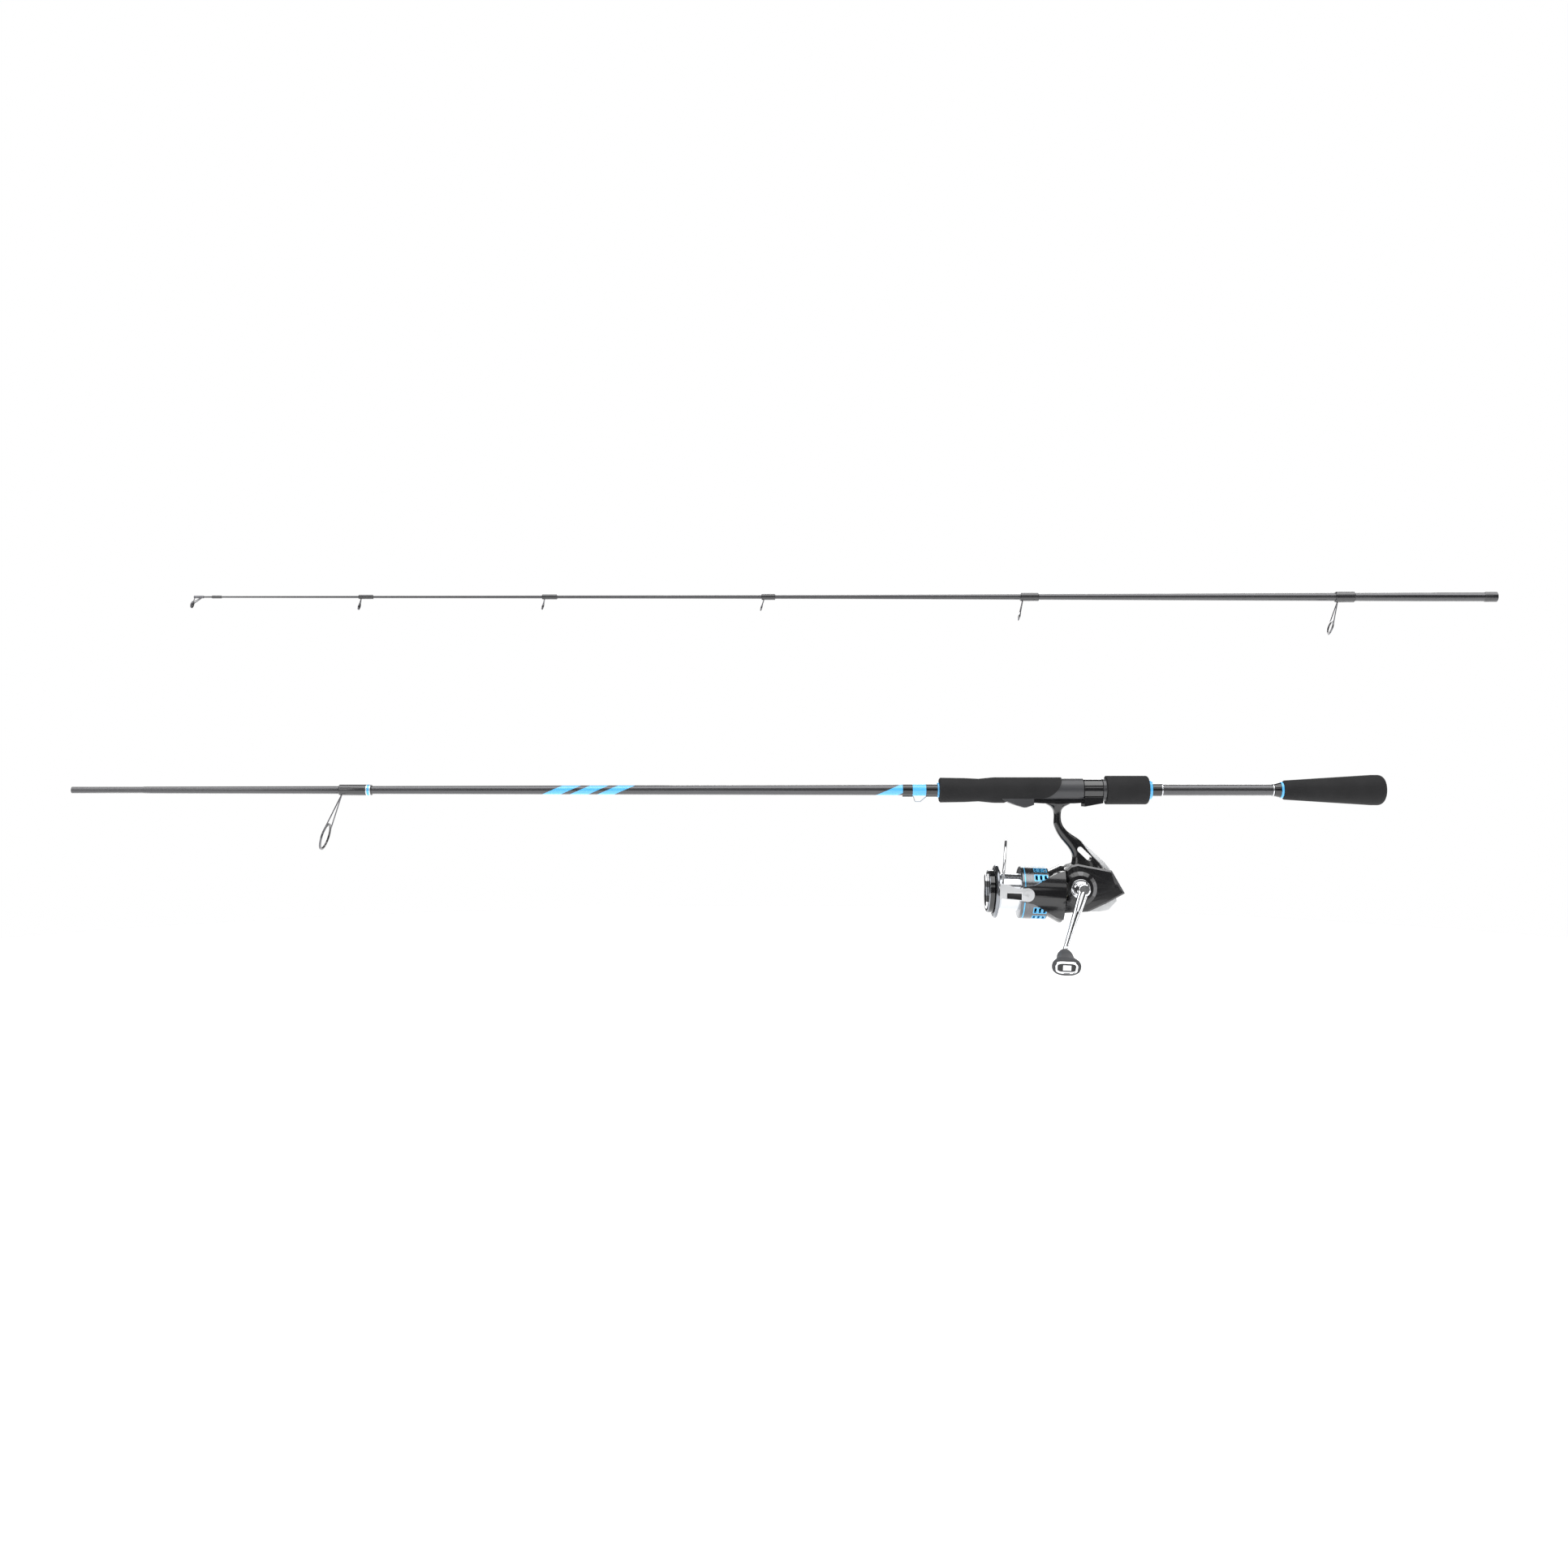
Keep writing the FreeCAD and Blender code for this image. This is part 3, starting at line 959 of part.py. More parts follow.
shaped("knob_shaft", shaft, crank)
lean = math.radians(size("crank_lean"))
level = Vector(math.cos(lean), 0, math.sin(lean))
face_knob = Rotation(level, Vector(), knob_run, "ZXY")
STATIONS = ((0, 5.2, 5.2, 2), (3, 6.3, 5.8, 2), (9, 7, 5.8, 2.1), (15, 8.2, 6, 2.2),
            (21, 10.8, 7, 2.3), (knob_length, 11.2, 7.1, 2.4))
widen = size("knob_half_width") / 11.4
grip = Part.makeLoft([oval(knob_start + knob_run * place, half_x * widen, half_y, square,
                           face_knob) for place, half_x, half_y, square in STATIONS], True, False)
bush_radius = size("knob_bush_radius")
grip = grip.cut(bar(knob_start - knob_run, knob_start + knob_run * (knob_length + 1),
                    bush_radius))
shaped("knob_grip", grip, crank)
bushes = []
for place in (0, knob_length - 8):
    bush = bar(knob_start + knob_run * place, knob_start + knob_run * (place + 4), bush_radius)
    bushes.append(bush.cut(bar(knob_start - knob_run * 2, knob_start + knob_run * 40,
                               size("knob_shaft_radius + fit"))))
shaped("knob_bushes", Part.makeCompound(bushes), crank)
cap_start = knob_start + knob_run * knob_length
cap = Part.makeLoft([oval(cap_start, 9.2 * widen, 5.4, 3.4, face_knob),
                     oval(cap_start + knob_run * 1.4, 8.6 * widen, 4.8, 3.4, face_knob)],
                    True, True)
shaped("knob_cap", cap, crank)

# ---- check and write ----

doc.recompute()
for item in doc.Objects:
    if "Invalid" in item.State or "Error" in item.State:
        raise RuntimeError(f"{item.Label} did not build: {item.State}")
for node in nodes:
    if node.Shape.isNull() or not node.Shape.isValid() or not node.Shape.Solids:
        raise RuntimeError(f"{node.Label} has no sound shape")
os.makedirs("parts", exist_ok=True)
for node in nodes:
    node.Shape.exportStep(f"parts/{node.Label}.step")
print(len(nodes), "nodes written")
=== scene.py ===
# %% [markdown]
# # A spinning rod and reel
# A two-piece rod with a reel hanging under it. The moving frame comes from the imported model: each
# CAD node is a real piece, already in place. This file gives every piece its finish, remakes the
# visible ones with softer edges and finer detail, and sets each remade piece on the body that
# carries it.

# %% Load the frame
import json
import math

import bmesh
import bpy
from mathutils import Matrix, Vector


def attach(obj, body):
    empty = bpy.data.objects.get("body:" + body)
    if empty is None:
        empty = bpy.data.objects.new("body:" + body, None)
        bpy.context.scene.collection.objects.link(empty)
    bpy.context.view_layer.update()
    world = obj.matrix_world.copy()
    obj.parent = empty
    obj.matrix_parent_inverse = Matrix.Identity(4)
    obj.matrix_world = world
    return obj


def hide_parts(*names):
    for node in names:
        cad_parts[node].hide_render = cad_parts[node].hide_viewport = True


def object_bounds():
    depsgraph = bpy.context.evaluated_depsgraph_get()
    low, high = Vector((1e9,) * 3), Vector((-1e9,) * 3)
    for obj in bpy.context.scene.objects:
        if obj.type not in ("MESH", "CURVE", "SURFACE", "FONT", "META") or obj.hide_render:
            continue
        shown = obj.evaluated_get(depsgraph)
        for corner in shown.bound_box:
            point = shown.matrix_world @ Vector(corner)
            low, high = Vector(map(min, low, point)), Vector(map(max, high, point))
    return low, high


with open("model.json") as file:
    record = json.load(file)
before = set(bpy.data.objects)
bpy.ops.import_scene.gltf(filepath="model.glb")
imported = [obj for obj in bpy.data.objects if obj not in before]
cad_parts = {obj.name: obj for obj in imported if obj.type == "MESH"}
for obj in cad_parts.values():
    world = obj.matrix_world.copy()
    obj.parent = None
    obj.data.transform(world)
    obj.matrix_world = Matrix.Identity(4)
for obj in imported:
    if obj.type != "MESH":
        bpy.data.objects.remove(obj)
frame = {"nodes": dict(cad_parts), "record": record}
nodes = frame["nodes"]
record = frame["record"]
joints = {joint["name"]: joint for joint in record["behaviour"]["joints"]}
body_of = {node: body for body, members in record["behaviour"]["bodies"].items()
           for node in members}
cad_low, cad_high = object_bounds()
print("CAD box", [round(value, 4) for value in (*cad_low, *cad_high)])

# %% [markdown]
# ## Camera
# The camera looks along +Y, square to the rod, from far enough back that both sections fit. It
# stands in front of the middle of the picture, which lies towards the tip from the reel, so the
# reel is seen a little from its spool end.

# %% Camera
PICTURE_WIDTH = 1.3138
CAMERA_BACK = 1.30
CAMERA_PLACE = (-0.2288, -CAMERA_BACK, 0.0051)
SENSOR = 36.0
camera_data = bpy.data.cameras.new("camera")
camera_data.sensor_width = SENSOR
camera_data.lens = SENSOR * CAMERA_BACK / PICTURE_WIDTH
camera = bpy.data.objects.new("camera", camera_data)
camera.location = CAMERA_PLACE
camera.rotation_euler = (math.radians(90), 0, 0)
bpy.context.scene.collection.objects.link(camera)
bpy.context.scene.camera = camera
print("lens", round(camera_data.lens, 2), "mm")

# %% [markdown]
# ## Two places to measure from
# The rod lies along X with the origin on its axis. The reel hangs a little nose-up, so its pieces
# are easier to describe in a frame of their own: X along the spool, away from the tip. That frame
# comes from the rotor's joint. The crank has a third frame, about its own axis.

# %% Frames of the reel and the crank
MM = 0.001
ROTOR_JOINT_BACK = 10 * MM


def along(x_axis, y_axis, z_axis, place):
    """The matrix with these axes at this place."""
    matrix = Matrix((x_axis, y_axis, z_axis)).transposed().to_4x4()
    matrix.translation = place
    return matrix


reel_x = -Vector(joints["rotor_turn"]["axis"]).normalized()
reel_y = Vector((0, 1, 0))
reel_z = reel_x.cross(reel_y)
reel_place = Vector(joints["rotor_turn"]["pos_m"]) + reel_x * ROTOR_JOINT_BACK
REEL = along(reel_x, reel_y, reel_z, reel_place)

crank_hub = Vector(joints["crank_turn"]["pos_m"])
knob_end = Vector(joints["crank_knob_spin"]["pos_m"])
knob_run = Vector(joints["crank_knob_spin"]["axis"]).normalized()
arm_run = (knob_end - crank_hub).normalized()
arm_side = arm_run.cross(knob_run).normalized()
ARM = along(arm_side, arm_run.cross(arm_side), arm_run, crank_hub)
print("reel origin", [round(value, 4) for value in reel_place])

# %% [markdown]
# ## Floor and light
# A gloss black reel is drawn by what it mirrors. A long lamp overhead puts a pale band along the
# top of each round piece, and a narrow one in front and above catches the slopes. The dim
# surroundings leave the middles black, and the floor, which glows a little so that it stays
# white, lifts the undersides to grey. The backdrop is white to the eye, and dim in reflections.

# %% Floor
FLOOR_GAP = 0.05
FLOOR_RADIUS = 1.25
FLOOR_GLOW = 0.45
floor_mesh = bmesh.new()
bmesh.ops.create_circle(floor_mesh, cap_ends=True, segments=96, radius=FLOOR_RADIUS)
bmesh.ops.translate(floor_mesh, verts=floor_mesh.verts,
                    vec=((cad_low.x + cad_high.x) / 2, 0, cad_low.z - FLOOR_GAP))
floor_data = bpy.data.meshes.new("floor")
floor_mesh.to_mesh(floor_data)
floor_mesh.free()
floor = bpy.data.objects.new("floor", floor_data)
bpy.context.scene.collection.objects.link(floor)
floor_paint = bpy.data.materials.new("floor_paint")
floor_paint.use_nodes = True
floor_shader = floor_paint.node_tree.nodes["Principled BSDF"]
floor_shader.inputs["Base Color"].default_value = (0.95, 0.95, 0.95, 1)
floor_shader.inputs["Roughness"].default_value = 1.0
floor_shader.inputs["Specular IOR Level"].default_value = 0.0
floor_shader.inputs["Emission Color"].default_value = (1, 1, 1, 1)
floor_shader.inputs["Emission Strength"].default_value = FLOOR_GLOW
floor.data.materials.append(floor_paint)
print("floor", round(cad_low.z - FLOOR_GAP, 3), "m")

# %% Light
ROOM_DIM = 0.12
BACKDROP = 1.0
world = bpy.data.worlds.new("studio")
world.use_nodes = True
world_tree = world.node_tree
room = world_tree.nodes["Background"]
room.inputs["Color"].default_value = (ROOM_DIM, ROOM_DIM, ROOM_DIM, 1)
backdrop = world_tree.nodes.new("ShaderNodeBackground")
backdrop.inputs["Color"].default_value = (BACKDROP, BACKDROP, BACKDROP, 1)
seen = world_tree.nodes.new("ShaderNodeLightPath")
either = world_tree.nodes.new("ShaderNodeMixShader")
world_tree.links.new(seen.outputs["Is Camera Ray"], either.inputs["Fac"])
world_tree.links.new(room.outputs["Background"], either.inputs[1])
world_tree.links.new(backdrop.outputs["Background"], either.inputs[2])
world_tree.links.new(either.outputs["Shader"], world_tree.nodes["World Output"].inputs["Surface"])
bpy.context.scene.world = world
bpy.context.scene.view_settings.view_transform = "Standard"


def soft_lamp(name, place, aim, size, power):
    """An area lamp that faces a point and isn't seen itself."""
    data = bpy.data.lights.new(name, "AREA")
    data.shape = "RECTANGLE"
    data.size, data.size_y = size
    data.energy = power
    lamp = bpy.data.objects.new(name, data)
    lamp.location = place
    lamp.rotation_euler = (Vector(aim) - Vector(place)).to_track_quat("-Z", "Y").to_euler()
    lamp.visible_camera = False
    bpy.context.scene.collection.objects.link(lamp)


soft_lamp("top_lamp", (-0.2, -0.35, 1.5), (-0.2, -0.2, 0), (3.6, 1.7), 56)
soft_lamp("front_lamp", (-1.5, -1.5, 0.5), (0, 0, -0.08), (0.7, 1.0), 5)
soft_lamp("side_lamp", (1.7, -0.7, 0.2), (0, 0, -0.08), (0.5, 1.2), 4)
soft_lamp("brow_lamp", (-0.2, -1.7, 0.95), (-0.05, 0, -0.08), (2.4, 0.4), 4)
soft_lamp("rear_lamp", (0.3, 1.9, 0.7), (0, 0, -0.05), (1.6, 0.6), 12)
print(len(bpy.data.lights), "lamps")

# %% [markdown]
# ## Finishes
# Each finish is a Principled shader with its own grain: fine noise bends the surface a little and
# varies its colour and roughness, so no finish is a single flat colour. The noise reads Object
# coordinates, which are real places on the rod in metres, so its scale is in waves per metre.

# %% Helpers for finishes
def new_finish(name, colour, metallic=0.0, specular=0.5, coat=0.0, coat_roughness=0.05):
    """A material with its shader's plain values set."""
    material = bpy.data.materials.new(name)
    material.use_nodes = True
    shader = material.node_tree.nodes["Principled BSDF"]
    shader.inputs["Base Color"].default_value = (*colour, 1)
    shader.inputs["Metallic"].default_value = metallic
    shader.inputs["Specular IOR Level"].default_value = specular
    shader.inputs["Coat Weight"].default_value = coat
    shader.inputs["Coat Roughness"].default_value = coat_roughness
    return material, material.node_tree, shader


def object_place(tree, stretch=(1, 1, 1)):
    """The point on the object, in metres, stretched along each axis."""
    coordinates = tree.nodes.new("ShaderNodeTexCoord")
    mapping = tree.nodes.new("ShaderNodeMapping")
    mapping.inputs["Scale"].default_value = stretch
    tree.links.new(coordinates.outputs["Object"], mapping.inputs["Vector"])
    return mapping.outputs["Vector"]


def noise(tree, place, scale, detail=3.0):
    """Smooth noise at this scale."""
    node = tree.nodes.new("ShaderNodeTexNoise")
    node.inputs["Scale"].default_value = scale
    node.inputs["Detail"].default_value = detail
    tree.links.new(place, node.inputs["Vector"])
    return node.outputs["Fac"]


def spread(tree, value, low, high, from_low=0.3, from_high=0.7):
    """The value spread over a new range."""
    node = tree.nodes.new("ShaderNodeMapRange")
    for name, number in (("From Min", from_low), ("From Max", from_high),
                         ("To Min", low), ("To Max", high)):
        node.inputs[name].default_value = number
    tree.links.new(value, node.inputs["Value"])
    return node.outputs["Result"]


def sum_of(tree, operation, *values):
    """A Math node on sockets and plain numbers."""
    node = tree.nodes.new("ShaderNodeMath")
    node.operation = operation
    for socket, value in zip(node.inputs, values):
        if isinstance(value, (int, float)):
            socket.default_value = value
        else:
            tree.links.new(value, socket)
    return node.outputs["Value"]


def bumped(tree, shader, value, depth, strength=0.5):
    """The value bends the surface by up to this depth in metres."""
    node = tree.nodes.new("ShaderNodeBump")
    node.inputs["Strength"].default_value = strength
    node.inputs["Distance"].default_value = depth
    tree.links.new(value, node.inputs["Height"])
    tree.links.new(node.outputs["Normal"], shader.inputs["Normal"])


def colour_mix(tree, amount, first, second):
    """A colour that goes from first to second; each is a colour or a socket."""
    node = tree.nodes.new("ShaderNodeMix")
    node.data_type = "RGBA"
    for socket, colour in ((node.inputs[6], first), (node.inputs[7], second)):
        if isinstance(colour, (tuple, list)):
            socket.default_value = (*colour, 1)
        else:
            tree.links.new(colour, socket)
    tree.links.new(amount, node.inputs[0])
    return node.outputs[2]


def grained(name, colour, roughness, grain_scale, grain_depth, metallic=0.0, specular=0.5,
            coat=0.0, vary=0.12, stretch=(1, 1, 1), broad_scale=90, bump=0.15):
    """A finish with fine grain: colour, roughness and surface all vary a little."""
    material, tree, shader = new_finish(name, colour, metallic, specular, coat)
    place = object_place(tree, stretch)
    fine = noise(tree, place, grain_scale)
    broad = noise(tree, place, broad_scale, 2.0)
    tree.links.new(spread(tree, broad, roughness * (1 - vary), roughness * (1 + vary)),
                   shader.inputs["Roughness"])
    dark = [part * (1 - vary) for part in colour]
    light = [min(1.0, part * (1 + vary)) for part in colour]
    tree.links.new(colour_mix(tree, spread(tree, fine, 0, 1), dark, light),
                   shader.inputs["Base Color"])
    bumped(tree, shader, fine, grain_depth, bump)
    return material


print("helpers ready")

# %% Plain finishes
SKY_BLUE = (0.09, 0.50, 0.93)
FINISHES = {
    "dark_metal": grained("dark_metal", (0.16, 0.16, 0.17), 0.22, 3000, 1e-5, 1.0),
    "dark_ceramic": grained("dark_ceramic", (0.02, 0.02, 0.022), 0.1, 2500, 5e-6, specular=0.7),
    "sky_blue": grained("sky_blue", SKY_BLUE, 0.28, 1800, 5e-6, coat=0.7, vary=0.05),
    "steel_wire": grained("steel_wire", (0.5, 0.51, 0.53), 0.2, 2500, 5e-6, 1.0),
    "seat_plastic": grained("seat_plastic", (0.045, 0.046, 0.05), 0.34, 2200, 3e-5, specular=0.5),
    "gloss_black": grained("gloss_black", (0.005, 0.005, 0.006), 0.12, 1500, 4e-6, specular=0.6,
                           coat=0.4),
    "satin_hood": grained("satin_hood", (0.05, 0.05, 0.054), 0.3, 700, 4e-6, 0.2, coat=0.4,
                          vary=0.05, bump=0.04),
    "hood_black": grained("hood_black", (0.008, 0.008, 0.009), 0.14, 700, 3e-6, coat=0.8,
                          vary=0.05, bump=0.04),
    "bright_cast": grained("bright_cast", (0.88, 0.89, 0.91), 0.14, 900, 2e-6, 0.55, coat=0.5,
                           vary=0.04, bump=0.05),
    "silver": grained("silver", (0.75, 0.77, 0.8), 0.18, 2200, 5e-6, 1.0),
    "reel_paint": grained("reel_paint", (0.005, 0.005, 0.006), 0.2, 1300, 5e-6, specular=0.5,
                          coat=0.5),
    # painted highlight: the cover's sloping facets are painted paler than the cover for the light
    # they catch
    "painted_highlight_facet": grained("painted_highlight_facet", (0.08, 0.08, 0.085), 0.34, 1300, 5e-6, coat=0.8),
    "pearl": grained("pearl", (0.72, 0.73, 0.74), 0.3, 1500, 5e-6, vary=0.04, coat=0.5),
    "black_screw": grained("black_screw", (0.02, 0.02, 0.022), 0.3, 2500, 8e-6, 0.4),
    "screw_steel": grained("screw_steel", (0.5, 0.51, 0.53), 0.3, 2500, 8e-6, 1.0),
    "chrome": grained("chrome", (0.86, 0.87, 0.89), 0.08, 900, 2e-6, 1.0, vary=0.05),
    "recess_black": grained("recess_black", (0.006, 0.006, 0.007), 0.25, 1500, 4e-6),
    "bearing_steel": grained("bearing_steel", (0.6, 0.61, 0.63), 0.25, 2500, 8e-6, 1.0),
    "gear_alloy": grained("gear_alloy", (0.55, 0.55, 0.54), 0.35, 1800, 1e-5, 1.0),
    "brass": grained("brass", (0.75, 0.56, 0.26), 0.25, 2200, 8e-6, 1.0),
    "nylon": grained("nylon", (0.7, 0.69, 0.65), 0.5, 1800, 1e-5),
    "bright_metal": grained("bright_metal", (0.68, 0.70, 0.73), 0.16, 2500, 5e-6, 1.0),
    "lip_metal": grained("lip_metal", (0.24, 0.25, 0.27), 0.2, 2500, 5e-6, 1.0),
    "felt": grained("felt", (0.24, 0.22, 0.19), 0.9, 2400, 1e-4),
    "knob_rubber": grained("knob_rubber", (0.06, 0.061, 0.065), 0.55, 2000, 5e-5, specular=0.35),
}
print(len(FINISHES), "plain finishes")

# %% [markdown]
# ## Foam grip
# The grips are closed-cell foam: matte black with a very fine sanded grain, a few lighter specks
# and slow changes from handling. Two noises make the colour, and the fine one makes the bump.

# %% Foam
foam, foam_tree, foam_shader = new_finish("foam", (0.02, 0.02, 0.021), specular=0.3)
foam_place = object_place(foam_tree)
foam_cells = noise(foam_tree, foam_place, 1900, 4.0)
foam_wear = noise(foam_tree, foam_place, 60, 3.0)
foam_colour = colour_mix(foam_tree, spread(foam_tree, foam_cells, 0, 1), (0.007, 0.007, 0.008),
                         (0.02, 0.02, 0.021))
foam_worn = colour_mix(foam_tree, spread(foam_tree, foam_wear, 0, 0.55), foam_colour,
                       (0.022, 0.022, 0.023))
foam_tree.links.new(foam_worn, foam_shader.inputs["Base Color"])
foam_tree.links.new(spread(foam_tree, foam_cells, 0.7, 0.95), foam_shader.inputs["Roughness"])
bumped(foam_tree, foam_shader, foam_cells, 2e-4, 0.7)
FINISHES["foam"] = foam
print("foam ready")

# %% [markdown]
# ## Graphite blank
# The blank is wound graphite under clear varnish: a dark grey with faint lengthwise fibre and a
# bright mirror line. The butt section has slanted blue bands painted round it. A band's edge runs
# forward as it goes down, so the pattern reads X less a share of Z, and a colour ramp with hard
# steps turns that one number into bands.

# %% Graphite
BAND_SLANT = 18 / 7.8
BANDS_FROM, BANDS_TO = -450 * MM, -120 * MM
# bands in millimetres along the rod, at the blank's axis
BANDS = [(-423.2, -407.6), (-400.6, -385.3), (-377.5, -362.7), (-143, -124)]


def graphite_finish(name, bands):
    """Varnished graphite, with blue bands where asked."""
    material, tree, shader = new_finish(name, (0.09, 0.09, 0.095), 0.75, 0.5, 1.0, 0.04)
    fibre = noise(tree, object_place(tree, (0.01, 1, 1)), 1600)
    tree.links.new(spread(tree, fibre, 0.24, 0.36), shader.inputs["Roughness"])
    colour = colour_mix(tree, spread(tree, fibre, 0, 1), (0.05, 0.05, 0.054), (0.07, 0.07, 0.075))
    if bands:
        split = tree.nodes.new("ShaderNodeSeparateXYZ")
        tree.links.new(object_place(tree), split.inputs["Vector"])
        slant = sum_of(tree, "MULTIPLY", split.outputs["Z"], BAND_SLANT)
        level = sum_of(tree, "SUBTRACT", split.outputs["X"], slant)
        ramp = tree.nodes.new("ShaderNodeValToRGB")
        ramp.color_ramp.interpolation = "CONSTANT"
        stops = ramp.color_ramp.elements
        stops[0].color = (0, 0, 0, 1)
        stops[1].position = 1.0
        stops[1].color = (0, 0, 0, 1)
        for band in bands:
            for edge, shade in zip(band, (1, 0)):
                stop = stops.new((edge * MM - BANDS_FROM) / (BANDS_TO - BANDS_FROM))
                stop.color = (shade, shade, shade, 1)
        tree.links.new(spread(tree, level, 0, 1, BANDS_FROM, BANDS_TO), ramp.inputs["Fac"])
        amount = ramp.outputs["Color"]
        colour = colour_mix(tree, amount, colour, SKY_BLUE)
        tree.links.new(sum_of(tree, "SUBTRACT", 0.75, sum_of(tree, "MULTIPLY", amount, 0.75)),
                       shader.inputs["Metallic"])
    tree.links.new(colour, shader.inputs["Base Color"])
    bumped(tree, shader, fibre, 1e-5, 0.1)
    return material


FINISHES["banded_graphite"] = graphite_finish("banded_graphite", BANDS)
FINISHES["graphite"] = graphite_finish("graphite", [])
print(len(BANDS), "blue bands")

# %% [markdown]
# ## Thread wraps
# A guide's foot is bound to the blank with fine black thread, then covered with varnish. The
# thread shows as close rings round the blank, so a wave along X bends the surface under a clear
# coat. The butt guide's wrap ends in a narrow blue and silver trim near its rear end.

# %% Thread
def thread_finish(name, trim=()):
    """Varnished thread, with narrow bands of other colours: from, to, colour."""
    material, tree, shader = new_finish(name, (0.015, 0.015, 0.017), 0.3, 0.5, 1.0, 0.05)
    place = object_place(tree)
    wave = tree.nodes.new("ShaderNodeTexWave")
    wave.inputs["Scale"].default_value = 800
    wave.inputs["Distortion"].default_value = 0.4
    tree.links.new(place, wave.inputs["Vector"])
    colour = colour_mix(tree, wave.outputs["Fac"], (0.010, 0.010, 0.012), (0.035, 0.035, 0.038))
    split = tree.nodes.new("ShaderNodeSeparateXYZ")
    tree.links.new(place, split.inputs["Vector"])
    for start, end, tint in trim:
        after = sum_of(tree, "GREATER_THAN", split.outputs["X"], start * MM)
        before = sum_of(tree, "LESS_THAN", split.outputs["X"], end * MM)
        colour = colour_mix(tree, sum_of(tree, "MULTIPLY", after, before), colour, tint)
    tree.links.new(colour, shader.inputs["Base Color"])
    tree.links.new(spread(tree, wave.outputs["Fac"], 0.2, 0.32, 0, 1), shader.inputs["Roughness"])
    bumped(tree, shader, wave.outputs["Fac"], 3e-5)
    return material


FINISHES["thread"] = thread_finish("thread")
FINISHES["trimmed_thread"] = thread_finish("trimmed_thread", [
    (-578.5, -577.6, (0.7, 0.72, 0.75)), (-577.6, -575.6, SKY_BLUE),
    (-575.6, -574.7, (0.7, 0.72, 0.75))])
print("threads ready")

# %% [markdown]
# ## Spool metal
# The spool's skirt is turned aluminium in dark silver, with blue round each of its ports and a
# thin blue line near its front. Both follow the spool's own axis, so the material first turns
# Object coordinates into the reel's frame, then works in distance along it and angle round it.

# %% Skirt finish
SKIRT_RADIUS = 21.9 * MM
PORT_PITCH = 3.8 * MM
PORT_COLUMNS_FROM = -22.3 * MM
PORT_COLUMNS_TO = -10.9 * MM
PORTS_ROUND = 14
PORT_HALF_LENGTH = 1.0 * MM
PORT_HALF_WIDTH = 2.6 * MM
PORT_RIM = 0.75 * MM
BLUE_LINE = (-30.2 * MM, -29.4 * MM)
skirt, skirt_tree, skirt_shader = new_finish("skirt", (0.3, 0.31, 0.33), 1.0)
skirt_coordinates = skirt_tree.nodes.new("ShaderNodeTexCoord")
skirt_mapping = skirt_tree.nodes.new("ShaderNodeMapping")
skirt_mapping.vector_type = "POINT"
back = REEL.inverted()
skirt_mapping.inputs["Location"].default_value = back.translation
skirt_mapping.inputs["Rotation"].default_value = back.to_euler()
skirt_tree.links.new(skirt_coordinates.outputs["Object"], skirt_mapping.inputs["Vector"])
skirt_split = skirt_tree.nodes.new("ShaderNodeSeparateXYZ")
skirt_tree.links.new(skirt_mapping.outputs["Vector"], skirt_split.inputs["Vector"])
length_along = skirt_split.outputs["X"]
angle_round = sum_of(skirt_tree, "ARCTAN2", skirt_split.outputs["Y"], skirt_split.outputs["Z"])


def off_middle(tree, value, pitch, start):
    """How far the value is from the middle of its own step of this pitch."""
    shifted = sum_of(tree, "SUBTRACT", value, start)
    step = sum_of(tree, "FLOORED_MODULO", shifted, pitch)
    return sum_of(tree, "ABSOLUTE", sum_of(tree, "SUBTRACT", step, pitch / 2))


port_angle = math.tau / PORTS_ROUND
beside = off_middle(skirt_tree, length_along, PORT_PITCH, PORT_COLUMNS_FROM)
round_off = off_middle(skirt_tree, angle_round, port_angle, -port_angle / 2)
round_off = sum_of(skirt_tree, "MULTIPLY", round_off, SKIRT_RADIUS)
rim = sum_of(skirt_tree, "MULTIPLY",
             sum_of(skirt_tree, "LESS_THAN", beside, PORT_HALF_LENGTH + PORT_RIM),
             sum_of(skirt_tree, "LESS_THAN", round_off, PORT_HALF_WIDTH + PORT_RIM))
for side, limit in (("GREATER_THAN", PORT_COLUMNS_FROM), ("LESS_THAN", PORT_COLUMNS_TO)):
    rim = sum_of(skirt_tree, "MULTIPLY", rim, sum_of(skirt_tree, side, length_along, limit))
line = sum_of(skirt_tree, "MULTIPLY",
              sum_of(skirt_tree, "GREATER_THAN", length_along, BLUE_LINE[0]),
              sum_of(skirt_tree, "LESS_THAN", length_along, BLUE_LINE[1]))
blue_amount = sum_of(skirt_tree, "MAXIMUM", rim, line)
turning = noise(skirt_tree, object_place(skirt_tree, (1, 0.05, 0.05)), 3000)
skirt_metal = colour_mix(skirt_tree, spread(skirt_tree, turning, 0, 1), (0.13, 0.133, 0.14),
                         (0.2, 0.205, 0.215))
skirt_tree.links.new(colour_mix(skirt_tree, blue_amount, skirt_metal, (0.12, 0.55, 0.95)),
                     skirt_shader.inputs["Base Color"])
skirt_tree.links.new(spread(skirt_tree, turning, 0.18, 0.28), skirt_shader.inputs["Roughness"])
skirt_tree.links.new(sum_of(skirt_tree, "SUBTRACT", 1.0,
                            sum_of(skirt_tree, "MULTIPLY", blue_amount, 0.6)),
                     skirt_shader.inputs["Metallic"])
bumped(skirt_tree, skirt_shader, turning, 8e-6)
FINISHES["skirt"] = skirt
print(PORTS_ROUND * 3, "blue port rims")

# %% [markdown]
# ## Soft edges on every visible piece
# No real moulded or turned edge is perfectly sharp: it catches a thin line of light. A CAD mesh is
# loose triangles, so each visible node is copied, its doubles are merged and its flat faces made
# whole, and a Bevel modifier rounds what is left sharp. The copy rides on the node's own body.

